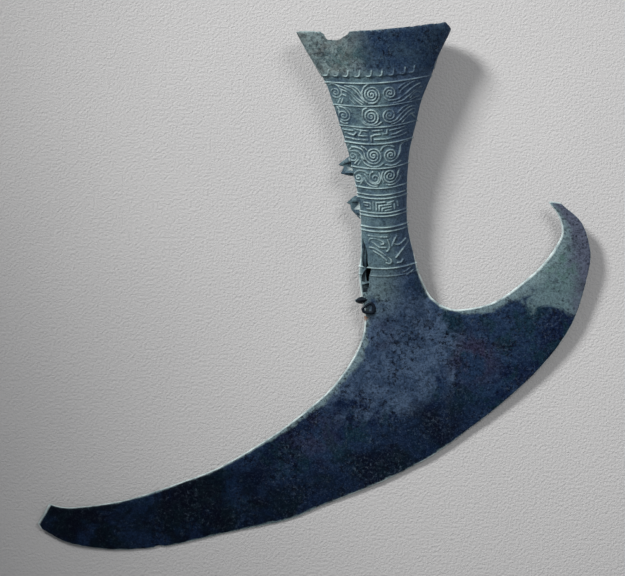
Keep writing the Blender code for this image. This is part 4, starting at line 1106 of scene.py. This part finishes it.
def patinated_bronze():
    """Old bronze: navy and slate blue on the blade, pale grey-green where rubbed and as painted highlight,
    dark with earth and painted shade in its recesses.
    """
    f = Finish("patinated_bronze")
    wing = f.step(f.towards((-42, -128), (-1, -0.5)), 0.0, 0.10)
    horn_edge = f.step(f.mottle(34, 7, 0.66, 0.6, 5), 0.3, 0.7, -0.22, 0.22)
    horn = f.step(f.plus(f.near((152, 58), 100), horn_edge), 0.25, 0.48)
    left_of_bay = f.step(f.towards((82, 0), (1, 0)), -0.006, 0.006, 1.0, 0.0)
    neck = f.times(f.step(f.towards((0, 14), UPWARD), 0.0, 0.03), left_of_bay)
    # The right side of the socket, away from the lamp: painted darker as shade, over a darker patina.
    shade = f.step(f.towards((0, 20), ACROSS), -0.004, 0.020)
    mouth = f.step(f.towards((0, 184), UPWARD), 0.0, 0.010)
    west = f.step(f.towards((-20, 200), ACROSS), 0.012, -0.022)
    clusters = f.step(f.mottle(30, 6, 0.7, 0.4, 19), 0.44, 0.58)
    smooth = f.times(neck, f.step(mouth, 0.0, 1.0, 1.0, 0.15))
    plain = f.times(f.step(smooth, 0.0, 1.0, 1.0, 0.5), f.step(clusters, 0.0, 1.0, 0.45, 1.0))
    plain = f.times(plain, f.step(horn, 0.0, 1.0, 1.0, 0.55))
    plain = f.times(plain, f.step(f.times(mouth, west), 0.0, 1.0, 1.0, 0.7))
    pits = f.step(f.add("TexVoronoi", {"Vector": f.places(), "Scale": 260.0}), 0.10, 0.36, 1.0, 0.0)
    pits = f.times(pits, f.step(f.mottle(24, 5, 0.7, 0.4, 29), 0.44, 0.56, 0.0, 0.6))

    colour = blade_patina(f, wing, horn)
    colour = socket_patina_and_light(f, colour, neck, shade, mouth, west)
    colour = stains_and_bevel_light(f, colour)
    colour = grained(f, colour, plain, wing, clusters, f.times(pits, f.step(neck, 0.0, 1.0, 1.0, 0.4)))
    f.put(f.shader.inputs["Base Color"], rubbed_dirty_and_painted_light(f, colour, shade))

    f.put(f.shader.inputs["Roughness"], f.step(f.mottle(80, 5, 0.6, 0, 13), 0.3, 0.7, 0.42, 0.66))
    f.shader.inputs["Metallic"].default_value = 0.0
    f.shader.inputs["Specular IOR Level"].default_value = 0.07
    skin = f.bump(f.mottle(950, 3, 0.6, 0, 14), 0.35, 0.0002)
    skin = f.bump(f.mottle(300, 5, 0.65, 0, 15), 0.6, 0.0008, skin)
    skin = f.bump(f.times(pits, -1.0), 0.7, 0.0005, skin)
    f.put(f.shader.inputs["Normal"], skin)
    return f.material


def pale_floor():
    f = Finish("painted_floor")
    tone = f.step(f.mottle(3, 4, 0.5), 0.3, 0.7)
    f.put(f.shader.inputs["Base Color"], f.mix(tone, (0.53, 0.528, 0.530, 1), (0.57, 0.567, 0.566, 1)))
    f.shader.inputs["Roughness"].default_value = 0.9
    f.put(f.shader.inputs["Normal"], f.bump(f.mottle(520, 2, 0.6), 0.8, 0.0010))
    return f.material


def lay_floor():
    mesh = bmesh.new()
    bmesh.ops.create_grid(mesh, x_segments=1, y_segments=1, size=3)
    floor = as_object("floor", mesh)
    floor.data.materials.append(pale_floor())


def pool_of_light(name, place, aim, size, cone, power, colour):
    """A soft lamp that is brightest in the middle of its pool."""
    lamp = bpy.data.lights.new(name, "SPOT")
    lamp.shadow_soft_size = size
    lamp.spot_size = math.radians(cone)
    lamp.spot_blend = 1.0
    lamp.energy = power
    lamp.color = colour
    made = bpy.data.objects.new(name, lamp)
    made.location = place
    made.rotation_euler = (Vector(aim) - Vector(place)).to_track_quat("-Z", "Y").to_euler()
    bpy.context.scene.collection.objects.link(made)


def room():
    """Soft light from all round, dim straight overhead, where a camera and its user stand."""
    world = bpy.data.worlds.new("room")
    world.use_nodes = True
    tree = world.node_tree
    where = tree.nodes.new("ShaderNodeTexCoord")
    parts = tree.nodes.new("ShaderNodeSeparateXYZ")
    height = tree.nodes.new("ShaderNodeMapRange")
    for socket, value in (("From Min", 0.35), ("From Max", 0.97), ("To Min", 0.37), ("To Max", 0.03)):
        height.inputs[socket].default_value = value
    tree.links.new(where.outputs["Generated"], parts.inputs[0])
    tree.links.new(parts.outputs["Z"], height.inputs["Value"])
    tree.links.new(height.outputs["Result"], tree.nodes["Background"].inputs["Strength"])
    tree.nodes["Background"].inputs["Color"].default_value = (0.93, 0.95, 1.0, 1)
    bpy.context.scene.world = world


def light_and_camera():
    pool_of_light("window", place=(-1.0, 1.2, 0.95), aim=(0.25, 0.01, 0), size=0.22, cone=36, power=164,
                  colour=(1.0, 0.99, 0.975))
    pool_of_light("fill", place=(0.85, 0.75, 1.45), aim=(0.20, 0.04, 0), size=0.45, cone=44, power=54,
                  colour=(1.0, 0.99, 0.98))
    room()
    camera = bpy.data.cameras.new("camera")
    camera.sensor_width = CAMERA_SENSOR
    camera.lens = CAMERA_LENS
    made = bpy.data.objects.new("camera", camera)
    made.matrix_world = lying() @ Matrix.Translation(CAMERA_AT)
    bpy.context.scene.collection.objects.link(made)
    bpy.context.scene.camera = made
    bpy.context.scene.view_settings.view_transform = "Standard"


def main():
    axe = cast_axe()
    paint_edge_highlight_and_patina(axe)
    axe.data.transform(lying())
    axe.data.materials.clear()
    axe.data.materials.append(patinated_bronze())
    axe.data.shade_smooth()
    axe.data.set_sharp_from_angle(angle=SHARP_FROM)
    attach(axe, "root")
    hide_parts("bronze_axe")
    lay_floor()
    light_and_camera()


main()
